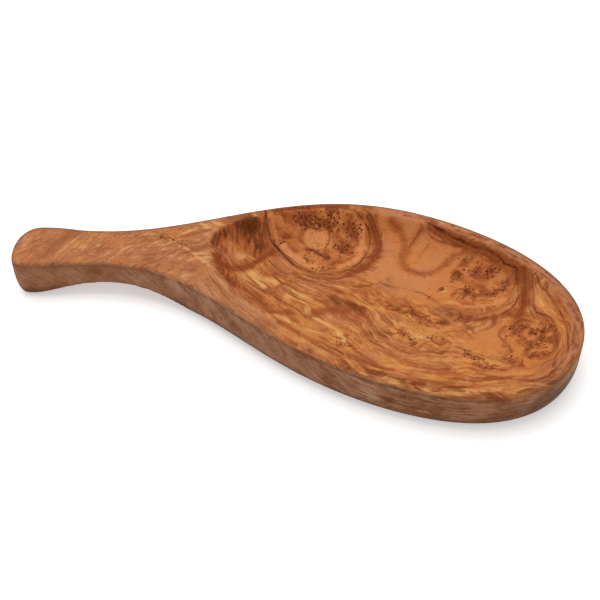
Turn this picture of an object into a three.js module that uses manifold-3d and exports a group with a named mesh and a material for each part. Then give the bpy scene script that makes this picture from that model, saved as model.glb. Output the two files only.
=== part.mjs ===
// Olive wood tapas bowl with a swept handle, carved from a single plank.
// Millimetres, +Z up. The origin is the middle of the flat base under the bowl.
// +X runs along the bowl towards its tip, and the handle leaves towards -X and -Y.
import * as THREE from "three";
import { mergeVertices } from "three/addons/utils/BufferGeometryUtils.js";
import Module from "manifold-3d";

const wasm = await Module();
wasm.setup();

// The plank, and how deep the dish is carved into it
const plankThickness = 28;
const floorThickness = 12;

// The bowl's outline: two bellies, one on each side, and a tip that leans a little to the front
const bowlWidth = 150;
const backBellyX = 5.5;
const frontBellyX = 21;
const tipReach = 125;
const tipLean = 1.5;
const tipFullness = { backBelly: 69, back: 47, front: 43, frontBelly: 71 };

// The handle: where its end sits, which way it points, and its widths
const handleReach = 228;
const handleSweep = 61;
const handleAngle = 22.5;
const handleEndWidth = 38;
const handleWaistWidth = 32.5;
const handleWaistDistance = 55;
const endMiddleOffset = 4;
const endCornerLength = { back: 16, front: 10 };
const endCornerFullness = { back: 0.6, front: 0.68 };
const handleSideFullness = 0.4;
const shoulderFullness = { back: 71, backBelly: 94, front: 70, frontBelly: 87 };

// The dish: a rim of even width, and a blunt start past the flat deck that the handle widens into
const rimWidth = 8;
const deckLength = 75;
const deckOffset = 14;
const dishStartFullness = { back: 18, front: 32 };
const dishBellyFullness = { back: 64, front: 75 };
const dishTipShrink = 0.9;
const wallSteepness = 6;
const lipSoftness = 1.25;

// Rounded edges
const topEdgeRadius = 2.5;
const handleUnderInset = 5;
const handleUnderRise = 9;
const bowlUnderInset = 8;
const bowlUnderRise = 11;
const neckStartX = -165;
const neckEndX = -75;

// The finger arch under the handle
const heelLength = 13;
const archLength = 108;
const archRise = 10.5;

// Facets
const shoulderSteps = 18;
const tipSteps = 15;
const handleSideSteps = 7;
const cornerSteps = 8;
const roundSteps = 6;
const topEdgeSteps = 3;
const dishRings = 13;
const archSteps = 14;
const cutterOverrun = 2;

const quarterTurn = Math.PI / 2;
const vec = (x, y) => new THREE.Vector2(x, y);
const alongX = vec(1, 0);
const alongY = vec(0, 1);
const handleTurn = THREE.MathUtils.degToRad(handleAngle);
const handleDirection = vec(Math.cos(handleTurn), Math.sin(handleTurn));
const handleSide = vec(-handleDirection.y, handleDirection.x);
const handleEnd = vec(-handleReach, -handleSweep);

/** A point of the plan, measured from the middle of the handle's end: along the handle, then across it. */
function onHandle(along, across) {
  return handleEnd.clone().addScaledVector(handleDirection, along).addScaledVector(handleSide, across);
}

/** A direction drawn out to a length, or turned round by a length below nought. */
function pull(direction, length) {
  return direction.clone().multiplyScalar(length);
}

/** A smooth run of points from one point to another, with the pull it leaves by and the pull it arrives by. */
function run(from, leave, to, arrive, steps) {
  const first = from.clone().add(leave);
  const second = to.clone().sub(arrive);
  return new THREE.CubicBezierCurve(from, first, second, to).getPoints(steps).slice(1);
}

/** The bowl's half of the plank's outline, from the handle's front waist round the tip to its back waist. */
function bowlEdge(frontWaist, backWaist) {
  const tip = vec(tipReach, -tipLean);
  const backBelly = vec(backBellyX, bowlWidth / 2);
  const frontBelly = vec(frontBellyX, -bowlWidth / 2);
  const shoulder = shoulderFullness;
  const full = tipFullness;
  return [
    ...run(
      frontWaist,
      pull(handleDirection, shoulder.front),
      frontBelly,
      pull(alongX, shoulder.frontBelly),
      shoulderSteps,
    ),
    ...run(frontBelly, pull(alongX, full.frontBelly), tip, pull(alongY, full.front), tipSteps),
    ...run(tip, pull(alongY, full.back), backBelly, pull(alongX, -full.backBelly), tipSteps),
    ...run(
      backBelly,
      pull(alongX, -shoulder.backBelly),
      backWaist,
      pull(handleDirection, -shoulder.back),
      shoulderSteps,
    ),
  ];
}

/** The handle's half of the plank's outline, from its back waist round the end to its front waist. */
function handleEdge(backWaist, frontWaist) {
  const half = handleEndWidth / 2;
  const backSide = onHandle(endCornerLength.back, half);
  const frontSide = onHandle(endCornerLength.front, -half);
  const endMiddle = onHandle(0, -endMiddleOffset);
  const inward = pull(handleDirection, handleWaistDistance * handleSideFullness);
  const { back, front } = endCornerFullness;
  return [
    ...run(backWaist, pull(inward, -1), backSide, pull(inward, -1), handleSideSteps),
    ...run(
      backSide,
      pull(handleDirection, -endCornerLength.back * back),
      endMiddle,
      pull(handleSide, -(half + endMiddleOffset) * back),
      cornerSteps,
    ),
    ...run(
      endMiddle,
      pull(handleSide, -(half - endMiddleOffset) * front),
      frontSide,
      pull(handleDirection, endCornerLength.front * front),
      cornerSteps,
    ),
    ...run(frontSide, inward, frontWaist, inward, handleSideSteps),
  ];
}

/** The plank's outline in plan, anticlockwise. */
function plankOutline() {
  const backWaist = onHandle(handleWaistDistance, handleWaistWidth / 2);
  const frontWaist = onHandle(handleWaistDistance, -handleWaistWidth / 2);
  return [...bowlEdge(frontWaist, backWaist), ...handleEdge(backWaist, frontWaist)];
}

/** The dish's lip in plan, anticlockwise from its tip: the rim's width inside the plank's outline. */
function dishOutline() {
  const tip = vec(tipReach - rimWidth, -tipLean);
  const backBelly = vec(backBellyX, bowlWidth / 2 - rimWidth);
  const frontBelly = vec(frontBellyX, rimWidth - bowlWidth / 2);
  const start = onHandle(handleWaistDistance + deckLength, deckOffset);
  const full = tipFullness;
  const belly = dishBellyFullness;
  const end = dishStartFullness;
  const tight = dishTipShrink;
  return [
    ...run(tip, pull(alongY, full.back * tight), backBelly, pull(alongX, -full.backBelly * tight), tipSteps),
    ...run(backBelly, pull(alongX, -belly.back), start, pull(alongY, -end.back), shoulderSteps),
    ...run(start, pull(alongY, -end.front), frontBelly, pull(alongX, belly.front), shoulderSteps),
    ...run(frontBelly, pull(alongX, full.frontBelly * tight), tip, pull(alongY, full.front * tight), tipSteps),
  ];
}

/** The unit normals of a closed outline, pointing into it. */
function inwardNormals(outline) {
  return outline.map((_, i) => {
    const before = outline.at(i - 1);
    const after = outline[(i + 1) % outline.length];
    const tangent = after.clone().sub(before).normalize();
    return vec(-tangent.y, tangent.x);
  });
}

/** A closed solid with flat ends, from anticlockwise rings of one length, the lowest ring first. */
function loft(rings) {
  const size = rings[0].length;
  const positions = rings.flat().flatMap((p) => [p.x, p.y, p.z]);
  const triangles = [];
  for (let ring = 0; ring + 1 < rings.length; ring++) {
    for (let i = 0; i < size; i++) {
      const a = ring * size + i;
      const b = ring * size + ((i + 1) % size);
      triangles.push(a, b, b + size, a, b + size, a + size);
    }
  }
  const topStart = (rings.length - 1) * size;
  for (const [a, b, c] of THREE.ShapeUtils.triangulateShape(rings[0], [])) triangles.push(c, b, a);
  for (const [a, b, c] of THREE.ShapeUtils.triangulateShape(rings.at(-1), [])) {
    triangles.push(topStart + a, topStart + b, topStart + c);
  }
  const geometry = new THREE.BufferGeometry();
  geometry.setAttribute("position", new THREE.Float32BufferAttribute(positions, 3));
  geometry.setIndex(triangles);
  return geometry;
}

/** A solid for joining and cutting, from a closed geometry. */
function solidOf(geometry) {
  const bare = geometry.clone();
  bare.deleteAttribute("normal");
  bare.deleteAttribute("uv");
  const merged = mergeVertices(bare);
  return new wasm.Manifold(
    new wasm.Mesh({
      numProp: 3,
      vertProperties: new Float32Array(merged.attributes.position.array),
      triVerts: new Uint32Array(merged.index.array),
    }),
  );
}

/** A geometry for a mesh, from a finished solid. */
function geometryOf(solid) {
  const mesh = solid.getMesh();
  const geometry = new THREE.BufferGeometry();
  geometry.setAttribute("position", new THREE.BufferAttribute(mesh.vertProperties, mesh.numProp));
  geometry.setIndex(new THREE.BufferAttribute(mesh.triVerts, 1));
  geometry.computeVertexNormals();
  return geometry;
}

/** The sawn plank: a soft top edge, and an underside rounded less on the handle than on the bowl. */
function plank() {
  const outline = plankOutline();
  const normals = inwardNormals(outline);
  const ringAt = (inset, height) =>
    outline.map((p, i) => {
      const q = p.clone().addScaledVector(normals[i], inset(p));
      return new THREE.Vector3(q.x, q.y, height(p));
    });
  const bowlShare = (p) => THREE.MathUtils.smoothstep(p.x, neckStartX, neckEndX);
  const underInset = (p) => THREE.MathUtils.lerp(handleUnderInset, bowlUnderInset, bowlShare(p));
  const underRise = (p) => THREE.MathUtils.lerp(handleUnderRise, bowlUnderRise, bowlShare(p));
  const rings = [];
  for (let step = 0; step <= roundSteps; step++) {
    const turn = (step / roundSteps) * quarterTurn;
    rings.push(
      ringAt(
        (p) => underInset(p) * (1 - Math.sin(turn)),
        (p) => underRise(p) * (1 - Math.cos(turn)),
      ),
    );
  }
  for (let step = 0; step <= topEdgeSteps; step++) {
    const turn = (step / topEdgeSteps) * quarterTurn;
    rings.push(
      ringAt(
        () => topEdgeRadius * (1 - Math.cos(turn)),
        () => plankThickness - topEdgeRadius * (1 - Math.sin(turn)),
      ),
    );
  }
  return loft(rings);
}

/** The wood carved out of the dish: a soft lip, a wall that steepens below it, and a nearly flat floor. */
function dishWaste() {
  const lip = dishOutline();
  const depth = plankThickness - floorThickness;
  const ringAt = (share, z) => lip.map((p) => new THREE.Vector3(p.x * share, p.y * share, z));
  const rings = [];
  for (let ring = 1; ring <= dishRings; ring++) {
    const share = Math.sin((ring / dishRings) * quarterTurn);
    const carved = (1 - share ** wallSteepness) ** lipSoftness;
    rings.push(ringAt(share, plankThickness - depth * carved));
  }
  rings.push(ringAt(1, plankThickness + cutterOverrun));
  return loft(rings);
}

/** The wood that is sawn out under the handle: an arc along the handle, from its heel to the bowl. */
function archWaste() {
  const radius = archLength ** 2 / (8 * archRise) + archRise / 2;
  const halfTurn = Math.asin(archLength / 2 / radius);
  const middle = heelLength + archLength / 2;
  const profile = new THREE.Shape();
  profile.moveTo(heelLength, -cutterOverrun);
  profile.lineTo(heelLength + archLength, -cutterOverrun);
  profile.absarc(middle, archRise - radius, radius, quarterTurn - halfTurn, quarterTurn + halfTurn, false);
  profile.closePath();
  const geometry = new THREE.ExtrudeGeometry(profile, {
    depth: bowlWidth,
    curveSegments: archSteps,
    bevelEnabled: false,
  });
  geometry.translate(0, 0, -bowlWidth / 2);
  geometry.rotateX(quarterTurn);
  geometry.rotateZ(handleTurn);
  geometry.translate(handleEnd.x, handleEnd.y, 0);
  return geometry;
}

const oiledOliveWood = new THREE.MeshStandardMaterial({ color: 0xb4703a, roughness: 0.5, metalness: 0 });

/** The whole bowl: the plank, less the dish and the finger arch. */
function carvedBowl() {
  const carved = solidOf(plank()).subtract(solidOf(dishWaste())).subtract(solidOf(archWaste()));
  const bowl = new THREE.Mesh(geometryOf(carved), oiledOliveWood);
  bowl.name = "carved_bowl";
  return bowl;
}

const tapasBowl = new THREE.Group();
tapasBowl.add(carvedBowl());

export default tapasBowl;
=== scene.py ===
"""The looks of an olive wood tapas bowl with a swept handle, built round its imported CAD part.

The bowl is one piece of wood. Its fine surface is carved here from the same named sizes as the CAD solid,
and its figure is grown as a tree grows it: rings that bulge round burl eyes, dark veins between them,
clusters of pin knots, flames along the plank and a quieter ripple on the handle.
Shape sizes are millimetres, turned to metres where a mesh is made.
"""

import logging
from dataclasses import dataclass
from enum import Enum

import bpy
import numpy as np
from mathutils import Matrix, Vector


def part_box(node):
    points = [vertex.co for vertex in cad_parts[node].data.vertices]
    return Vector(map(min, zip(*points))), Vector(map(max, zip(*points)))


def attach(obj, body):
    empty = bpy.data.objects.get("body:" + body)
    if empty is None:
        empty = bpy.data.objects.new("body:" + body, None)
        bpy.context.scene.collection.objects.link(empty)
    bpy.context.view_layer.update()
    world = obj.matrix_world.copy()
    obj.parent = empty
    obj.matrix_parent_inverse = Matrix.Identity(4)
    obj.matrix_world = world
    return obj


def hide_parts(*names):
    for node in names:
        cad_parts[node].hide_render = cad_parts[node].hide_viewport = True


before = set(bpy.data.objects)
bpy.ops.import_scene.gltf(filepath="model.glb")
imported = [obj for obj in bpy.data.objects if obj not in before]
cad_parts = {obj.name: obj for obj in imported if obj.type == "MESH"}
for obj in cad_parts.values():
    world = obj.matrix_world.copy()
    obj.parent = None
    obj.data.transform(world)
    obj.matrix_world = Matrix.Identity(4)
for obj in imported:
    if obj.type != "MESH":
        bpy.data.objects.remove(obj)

Tree = bpy.types.NodeTree
Socket = bpy.types.NodeSocket
Pair = tuple[float, float]

MM = 0.001
NODE = "carved_bowl"

log = logging.getLogger("tapas_bowl")


class Tone(Enum):
    """The colours of the wood and its stage, as sRGB hex."""

    KNOT = 0x5A260E
    INK = 0x56240A
    UMBER = 0x763714
    BROWN = 0x924A22
    RUSSET = 0xAE5E31
    HONEY = 0xD08046
    GOLD = 0xDC9450
    STRAW = 0xE7AB68
    BAND = 0x98481E
    BURL_DARK = 0x87401F
    BURL = 0xA85A2C
    BURL_PALE = 0xC87840
    PEACH = 0xDA8A54
    PINK = 0xCA8558
    RIM = 0xBC7A57
    DECK_DARK = 0x985835
    DECK = 0xB7764D
    DECK_PALE = 0xCE9467
    # The next three are painted shade: on the far top edge, low on the wall, under it and along its top edge,
    # and on the tip's end wall; the second also draws the wall's dark grain lines.
    FAR_EDGE_SHADE = 0x7C5A48
    WALL_LINE_AND_SHADE = 0x5E3824
    WALL_END_SHADE = 0x5C4036
    WALL_DARK = 0x8A5538
    WALL = 0xB07D5E
    WALL_PALE = 0xCCA486
    PAPER = 0xF7F7F7
    WHITE = 0xFFFFFF


class Field(Enum):
    """The fields that the figure paints on the surface and the finish reads."""

    GROWTH = "growth"
    CURLY = "curly"
    CALM = "calm"
    CRUMBLE = "crumble"
    BURL = "burl"
    GOLD = "gold"
    RINGS = "rings"
    BAND = "band"
    SHADE = "shade"
    COMB = "comb"
    VEIN = "vein"
    INK = "ink"
    KNOTS = "knots"
    CURL_ALONG = "curl_along"
    CURL_ACROSS = "curl_across"
    HEM = "hem"
    AROUND = "around"
    PLAIN = "plain"
    DECK = "deck"
    RIM = "rim"
    FAR_EDGE_SHADE = "dusk"
    LAYERS = "layers"
    LOW = "low"
    END_SHADE = "end_grain"
    WALL = "wall"
    EDGE = "edge"


class Kind(Enum):
    """The kinds of node that the finishes, the studio and the sanding use."""

    PLACE = "ShaderNodeTexCoord"
    FIELD = "ShaderNodeAttribute"
    NOISE = "ShaderNodeTexNoise"
    CELLS = "ShaderNodeTexVoronoi"
    MATH = "ShaderNodeMath"
    VECTOR = "ShaderNodeVectorMath"
    SPLIT = "ShaderNodeSeparateXYZ"
    JOIN = "ShaderNodeCombineXYZ"
    RANGE = "ShaderNodeMapRange"
    TONES = "ShaderNodeValToRGB"
    MIX = "ShaderNodeMix"
    SURFACE = "ShaderNodeBsdfPrincipled"
    MATT = "ShaderNodeBsdfDiffuse"
    GLOW = "ShaderNodeEmission"
    BOTH = "ShaderNodeAddShader"
    FADE = "ShaderNodeMixShader"
    PATH = "ShaderNodeLightPath"
    OUTPUT = "ShaderNodeOutputMaterial"
    SKY = "ShaderNodeBackground"
    SKY_OUTPUT = "ShaderNodeOutputWorld"
    GROUP_INPUT = "NodeGroupInput"
    GROUP_OUTPUT = "NodeGroupOutput"
    POSITION = "GeometryNodeInputPosition"
    NORMAL = "GeometryNodeInputNormal"
    BLUR = "GeometryNodeBlurAttribute"
    MOVE = "GeometryNodeSetPosition"
    SMOOTH = "GeometryNodeSetShadeSmooth"
    REALIZE = "GeometryNodeRealizeInstances"
    MATERIAL = "GeometryNodeSetMaterial"


def linear(tone: Tone) -> tuple[float, float, float, float]:
    """Turns a tone into the linear colour that a shader takes.

    Args:
        tone: the tone, whose value is sRGB hex.

    Returns:
        Red, green, blue and alpha.
    """
    channels = [(tone.value >> shift & 255) / 255 for shift in (16, 8, 0)]
    return (*(c / 12.92 if c <= 0.04045 else ((c + 0.055) / 1.055) ** 2.4 for c in channels), 1.0)


def add(
    tree: Tree,
    kind: Kind,
    inputs: dict | None = None,
    out: int | str = 0,
    stops: tuple[tuple[float, Tone], ...] = (),
    **settings: object,
) -> Socket | None:
    """Adds a node with its settings and links.

    Args:
        tree: the tree that the node goes into.
        kind: the node's kind.
        inputs: values, tones, painted fields or other nodes' outputs, by the input's name or number.
        out: the name or number of the output to give back.
        stops: places and tones of a colour ramp.
        settings: the node's own options.

    Returns:
        The asked output of the new node, or nothing where it has no output.
    """
    node = tree.nodes.new(kind.value)
    for name, value in settings.items():
        setattr(node, name, value)
    for key, value in (inputs or {}).items():
        socket = node.inputs[key]
        if isinstance(value, Field):
            value = add(tree, Kind.FIELD, out="Fac", attribute_name=value.value)
        if isinstance(value, Socket):
            tree.links.new(value, socket)
        else:
            socket.default_value = linear(value) if isinstance(value, Tone) else value
    if stops:
        ramp = node.color_ramp
        while len(ramp.elements) < len(stops):
            ramp.elements.new(1.0)
        for element, (place, tone) in zip(ramp.elements, stops):
            element.position = place
            element.color = linear(tone)
    return node.outputs[out] if node.outputs else None


def run(start: np.ndarray, leave: np.ndarray, end: np.ndarray, arrive: np.ndarray, steps: int) -> np.ndarray:
    """Draws a smooth run of points between two points of the plan.

    Args:
        start: the first point, which is left out of the run.
        leave: the pull that the run leaves by.
        end: the last point.
        arrive: the pull that the run arrives by.
        steps: how many points the run has.

    Returns:
        The points, one in a row.
    """
    t = np.linspace(0, 1, steps + 1)[1:, None]
    first, second = start + leave, end - arrive
    return (1 - t) ** 3 * start + 3 * (1 - t) ** 2 * t * first + 3 * (1 - t) * t**2 * second + t**3 * end


def smoothstep(low: float, high: float, value: np.ndarray) -> np.ndarray:
    """Rises smoothly from 0 at low to 1 at high."""
    t = np.clip((value - low) / (high - low), 0, 1)
    return t * t * (3 - 2 * t)


def loft(name: str, rings: list[np.ndarray]) -> bpy.types.Object:
    """Makes a closed solid with flat ends from rings of points.

    Args:
        name: the new object's name.
        rings: anticlockwise rings of one length in millimetres, the lowest ring first.

    Returns:
        The solid, in metres.
    """
    size = len(rings[0])
    around = np.arange(size)
    onward = np.roll(around, -1)
    faces = [tuple(around[::-1].tolist()), tuple((around + (len(rings) - 1) * size).tolist())]
    for ring in range(len(rings) - 1):
        low, high = ring * size, (ring + 1) * size
        quads = np.stack([around + low, onward + low, onward + high, around + high], axis=1)
        faces.extend(map(tuple, quads.tolist()))
    mesh = bpy.data.meshes.new(name)
    mesh.from_pydata((np.concatenate(rings) * MM).tolist(), [], faces)
    solid = bpy.data.objects.new(name, mesh)
    bpy.context.scene.collection.objects.link(solid)
    return solid


@dataclass(frozen=True)
class PlankOutline:
    """The sawn outline of the plank in plan: the bowl's edge and the handle's edge."""

    bowl_width: float = 150
    back_belly_x: float = 5.5
    front_belly_x: float = 21
    tip_reach: float = 125
    tip_lean: float = 1.5
    tip_back: Pair = (47, 69)
    tip_front: Pair = (43, 71)
    handle_reach: float = 228
    handle_sweep: float = 61
    handle_angle: float = 22.5
    handle_end_width: float = 38
    handle_waist_width: float = 32.5
    handle_waist_distance: float = 55
    end_middle_offset: float = 4
    end_corner_length: Pair = (16, 10)
    end_corner_fullness: Pair = (0.6, 0.68)
    handle_side_fullness: float = 0.4
    shoulder_back: Pair = (71, 94)
    shoulder_front: Pair = (70, 87)
    steps: int = 72

    @property
    def direction(self) -> np.ndarray:
        """The way from the handle's end towards the bowl."""
        turn = np.radians(self.handle_angle)
        return np.array([np.cos(turn), np.sin(turn)])

    @property
    def side(self) -> np.ndarray:
        """The way across the handle, towards the back."""
        return np.array([-self.direction[1], self.direction[0]])

    def on_handle(self, along: float, across: float) -> np.ndarray:
        """Gives the plan point so far along the handle from its end and so far across it."""
        end = np.array([-self.handle_reach, -self.handle_sweep])
        return end + along * self.direction + across * self.side

    def points(self) -> np.ndarray:
        """Gives the whole outline, anticlockwise from the front waist of the handle."""
        along_x, along_y = np.eye(2)
        half, waist = self.bowl_width / 2, self.handle_waist_width / 2
        tip = np.array([self.tip_reach, -self.tip_lean])
        back_belly = np.array([self.back_belly_x, half])
        front_belly = np.array([self.front_belly_x, -half])
        back_waist = self.on_handle(self.handle_waist_distance, waist)
        front_waist = self.on_handle(self.handle_waist_distance, -waist)
        end_half = self.handle_end_width / 2
        back_length, front_length = self.end_corner_length
        back_full, front_full = self.end_corner_fullness
        back_side = self.on_handle(back_length, end_half)
        front_side = self.on_handle(front_length, -end_half)
        middle = self.on_handle(0, -self.end_middle_offset)
        inward = self.direction * self.handle_waist_distance * self.handle_side_fullness
        back_pull, front_pull = self.shoulder_back, self.shoulder_front
        back_end = -self.side * (end_half + self.end_middle_offset) * back_full
        front_end = -self.side * (end_half - self.end_middle_offset) * front_full
        runs = [
            (front_waist, self.direction * front_pull[0], front_belly, along_x * front_pull[1]),
            (front_belly, along_x * self.tip_front[1], tip, along_y * self.tip_front[0]),
            (tip, along_y * self.tip_back[0], back_belly, -along_x * self.tip_back[1]),
            (back_belly, -along_x * back_pull[1], back_waist, -self.direction * back_pull[0]),
            (back_waist, -inward, back_side, -inward),
            (back_side, -self.direction * back_length * back_full, middle, back_end),
            (middle, front_end, front_side, self.direction * front_length * front_full),
            (front_side, inward, front_waist, inward),
        ]
        return np.concatenate([run(*pulls, self.steps) for pulls in runs])


@dataclass(frozen=True)
class Dish:
    """The hollow carved into the plank: its lip in plan, and how its wall falls to the floor."""

    rim_width: float = 8
    deck_length: float = 75
    deck_offset: float = 14
    start_fullness: Pair = (18, 32)
    belly_fullness: Pair = (64, 75)
    tip_shrink: float = 0.9
    wall_steepness: float = 6
    lip_softness: float = 1.25
    floor_thickness: float = 12
    rings: int = 48
    overrun: float = 2

    def lip(self, plank: PlankOutline) -> np.ndarray:
        """Gives the lip's outline, anticlockwise from its tip.

        Args:
            plank: the outline that the rim runs inside.

        Returns:
            The lip's points, one in a row.
        """
        along_x, along_y = np.eye(2)
        half = plank.bowl_width / 2 - self.rim_width
        tip = np.array([plank.tip_reach - self.rim_width, -plank.tip_lean])
        back_belly = np.array([plank.back_belly_x, half])
        front_belly = np.array([plank.front_belly_x, -half])
        start = plank.on_handle(plank.handle_waist_distance + self.deck_length, self.deck_offset)
        back_tip, front_tip = np.array(plank.tip_back), np.array(plank.tip_front)
        back_tip, front_tip = back_tip * self.tip_shrink, front_tip * self.tip_shrink
        runs = [
            (tip, along_y * back_tip[0], back_belly, -along_x * back_tip[1]),
            (back_belly, -along_x * self.belly_fullness[0], start, -along_y * self.start_fullness[0]),
            (start, -along_y * self.start_fullness[1], front_belly, along_x * self.belly_fullness[1]),
            (front_belly, along_x * front_tip[1], tip, along_y * front_tip[0]),
        ]
        return np.concatenate([run(*pulls, plank.steps) for pulls in runs])

    def waste(self, plank: PlankOutline, thickness: float) -> bpy.types.Object:
        """Makes the wood that is carved out of the dish.

        Args:
            plank: the outline that the rim runs inside.
            thickness: the plank's thickness.

        Returns:
            The cutter.
        """
        lip = self.lip(plank)
        depth = thickness - self.floor_thickness
        rings = []
        for share in np.sin(np.linspace(0, np.pi / 2, self.rings + 1)[1:]):
            height = thickness - depth * (1 - share**self.wall_steepness) ** self.lip_softness
            rings.append(np.column_stack([lip * share, np.full(len(lip), height)]))
        rings.append(np.column_stack([lip, np.full(len(lip), thickness + self.overrun)]))
        return loft("dish_waste", rings)


@dataclass(frozen=True)
class FingerArch:
    """The arc sawn out under the handle, from its heel to the bowl."""

    heel_length: float = 13
    length: float = 108
    rise: float = 10.5
    steps: int = 60
    overrun: float = 2

    def waste(self, plank: PlankOutline) -> bpy.types.Object:
        """Makes the wood that is sawn out under the handle.

        Args:
            plank: the outline whose handle the arch runs along.

        Returns:
            The cutter, as wide as the bowl.
        """
        radius = self.length**2 / (8 * self.rise) + self.rise / 2
        reach = np.arcsin(self.length / 2 / radius)
        turns = np.linspace(-reach, reach, self.steps + 1)
        along = self.heel_length + self.length / 2 + radius * np.sin(turns)
        height = self.rise - radius * (1 - np.cos(turns))
        along = np.concatenate([along, along[[-1, 0]]])
        height = np.concatenate([height, [-self.overrun, -self.overrun]])
        rings = []
        for across in (plank.bowl_width / 2, -plank.bowl_width / 2):
            plan = np.array([plank.on_handle(a, across) for a in along])
            rings.append(np.column_stack([plan, height])[::-1])
        return loft("arch_waste", rings)


def smooth_path(points: tuple[Pair, ...], steps: int = 5) -> np.ndarray:
    """Draws a smooth curve through a few points.

    Args:
        points: the points, one or more.
        steps: how many stretches lie between two points.

    Returns:
        The curve's points, one in a row.
    """
    knots = np.array(points, float)
    if len(knots) == 1:
        return np.repeat(knots, 2, axis=0)
    ends = np.concatenate([[2 * knots[0] - knots[1]], knots, [2 * knots[-1] - knots[-2]]])
    t = np.linspace(0, 1, steps, endpoint=False)[:, None]
    curve = []
    for a, b, c, d in zip(ends[:-3], ends[1:-2], ends[2:-1], ends[3:]):
        curve.append(b + t / 2 * (c - a + t * (2 * a - 5 * b + 4 * c - d + t * (3 * (b - c) + d - a))))
    return np.concatenate([*curve, knots[-1:]])


@dataclass(frozen=True)
class BurlEye:
    """A burl eye: its middle in plan, its reach every 30 degrees from +X, and the rings' bulge round it."""

    middle: Pair
    reach: tuple[float, ...]
    bulge: float

    def share(self, x: np.ndarray, y: np.ndarray) -> np.ndarray:
        """Measures how far out each point lies, with 1 on the eye's border.

        Args:
            x: the points' places along X.
            y: the points' places along Y.

        Returns:
            The share of the way from the middle to the border.
        """
        dx, dy = x - self.middle[0], y - self.middle[1]
        turn = np.arctan2(dy, dx)
        waves = np.fft.rfft(self.reach) / len(self.reach)
        border = np.full_like(turn, waves[0].real)
        for count, wave in enumerate(waves[1:-1], start=1):
            border += 2 * (wave.real * np.cos(count * turn) - wave.imag * np.sin(count * turn))
        return np.hypot(dx, dy) / border


@dataclass(frozen=True)
class Stroke:
    """A stroke in the figure: the few plan points that it passes through, its half width and its strength."""

    path: tuple[Pair, ...]
    width: float
    strength: float = 1

    def widths_off(self, x: np.ndarray, y: np.ndarray, reach: float) -> np.ndarray:
        """Measures how many half widths each point lies off the stroke.

        Args:
            x: the points' places along X.
            y: the points' places along Y.
            reach: the most half widths that are measured.

        Returns:
            The distance, positive on the stroke's left.
        """
        path = smooth_path(self.path)
        margin = reach * self.width
        low, high = path.min(axis=0) - margin, path.max(axis=0) + margin
        near = (x > low[0]) & (x < high[0]) & (y > low[1]) & (y < high[1])
        px, py = x[near], y[near]
        best = np.full_like(px, margin)
        for start, end in zip(path[:-1], path[1:]):
            way = end - start
            along = ((px - start[0]) * way[0] + (py - start[1]) * way[1]) / max(way @ way, 1e-9)
            along = np.clip(along, 0, 1)
            dx, dy = px - start[0] - along * way[0], py - start[1] - along * way[1]
            off = np.hypot(dx, dy) * np.where(way[0] * dy < way[1] * dx, -1, 1)
            best = np.where(np.abs(off) < np.abs(best), off, best)
        result = np.full_like(x, reach)
        result[near] = best / self.width
        return result

    def cover(self, x: np.ndarray, y: np.ndarray) -> np.ndarray:
        """Gives the stroke's strength at each point, fading outwards."""
        return self.strength * np.exp(-self.widths_off(x, y, 3) ** 2)


def strongest(strokes: tuple[Stroke, ...], x: np.ndarray, y: np.ndarray) -> np.ndarray:
    """Gives the strength of the strongest stroke at each point.

    Args:
        strokes: the strokes.
        x: the points' places along X.
        y: the points' places along Y.

    Returns:
        The strength at each point.
    """
    return np.max([stroke.cover(x, y) for stroke in strokes], axis=0)


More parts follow.
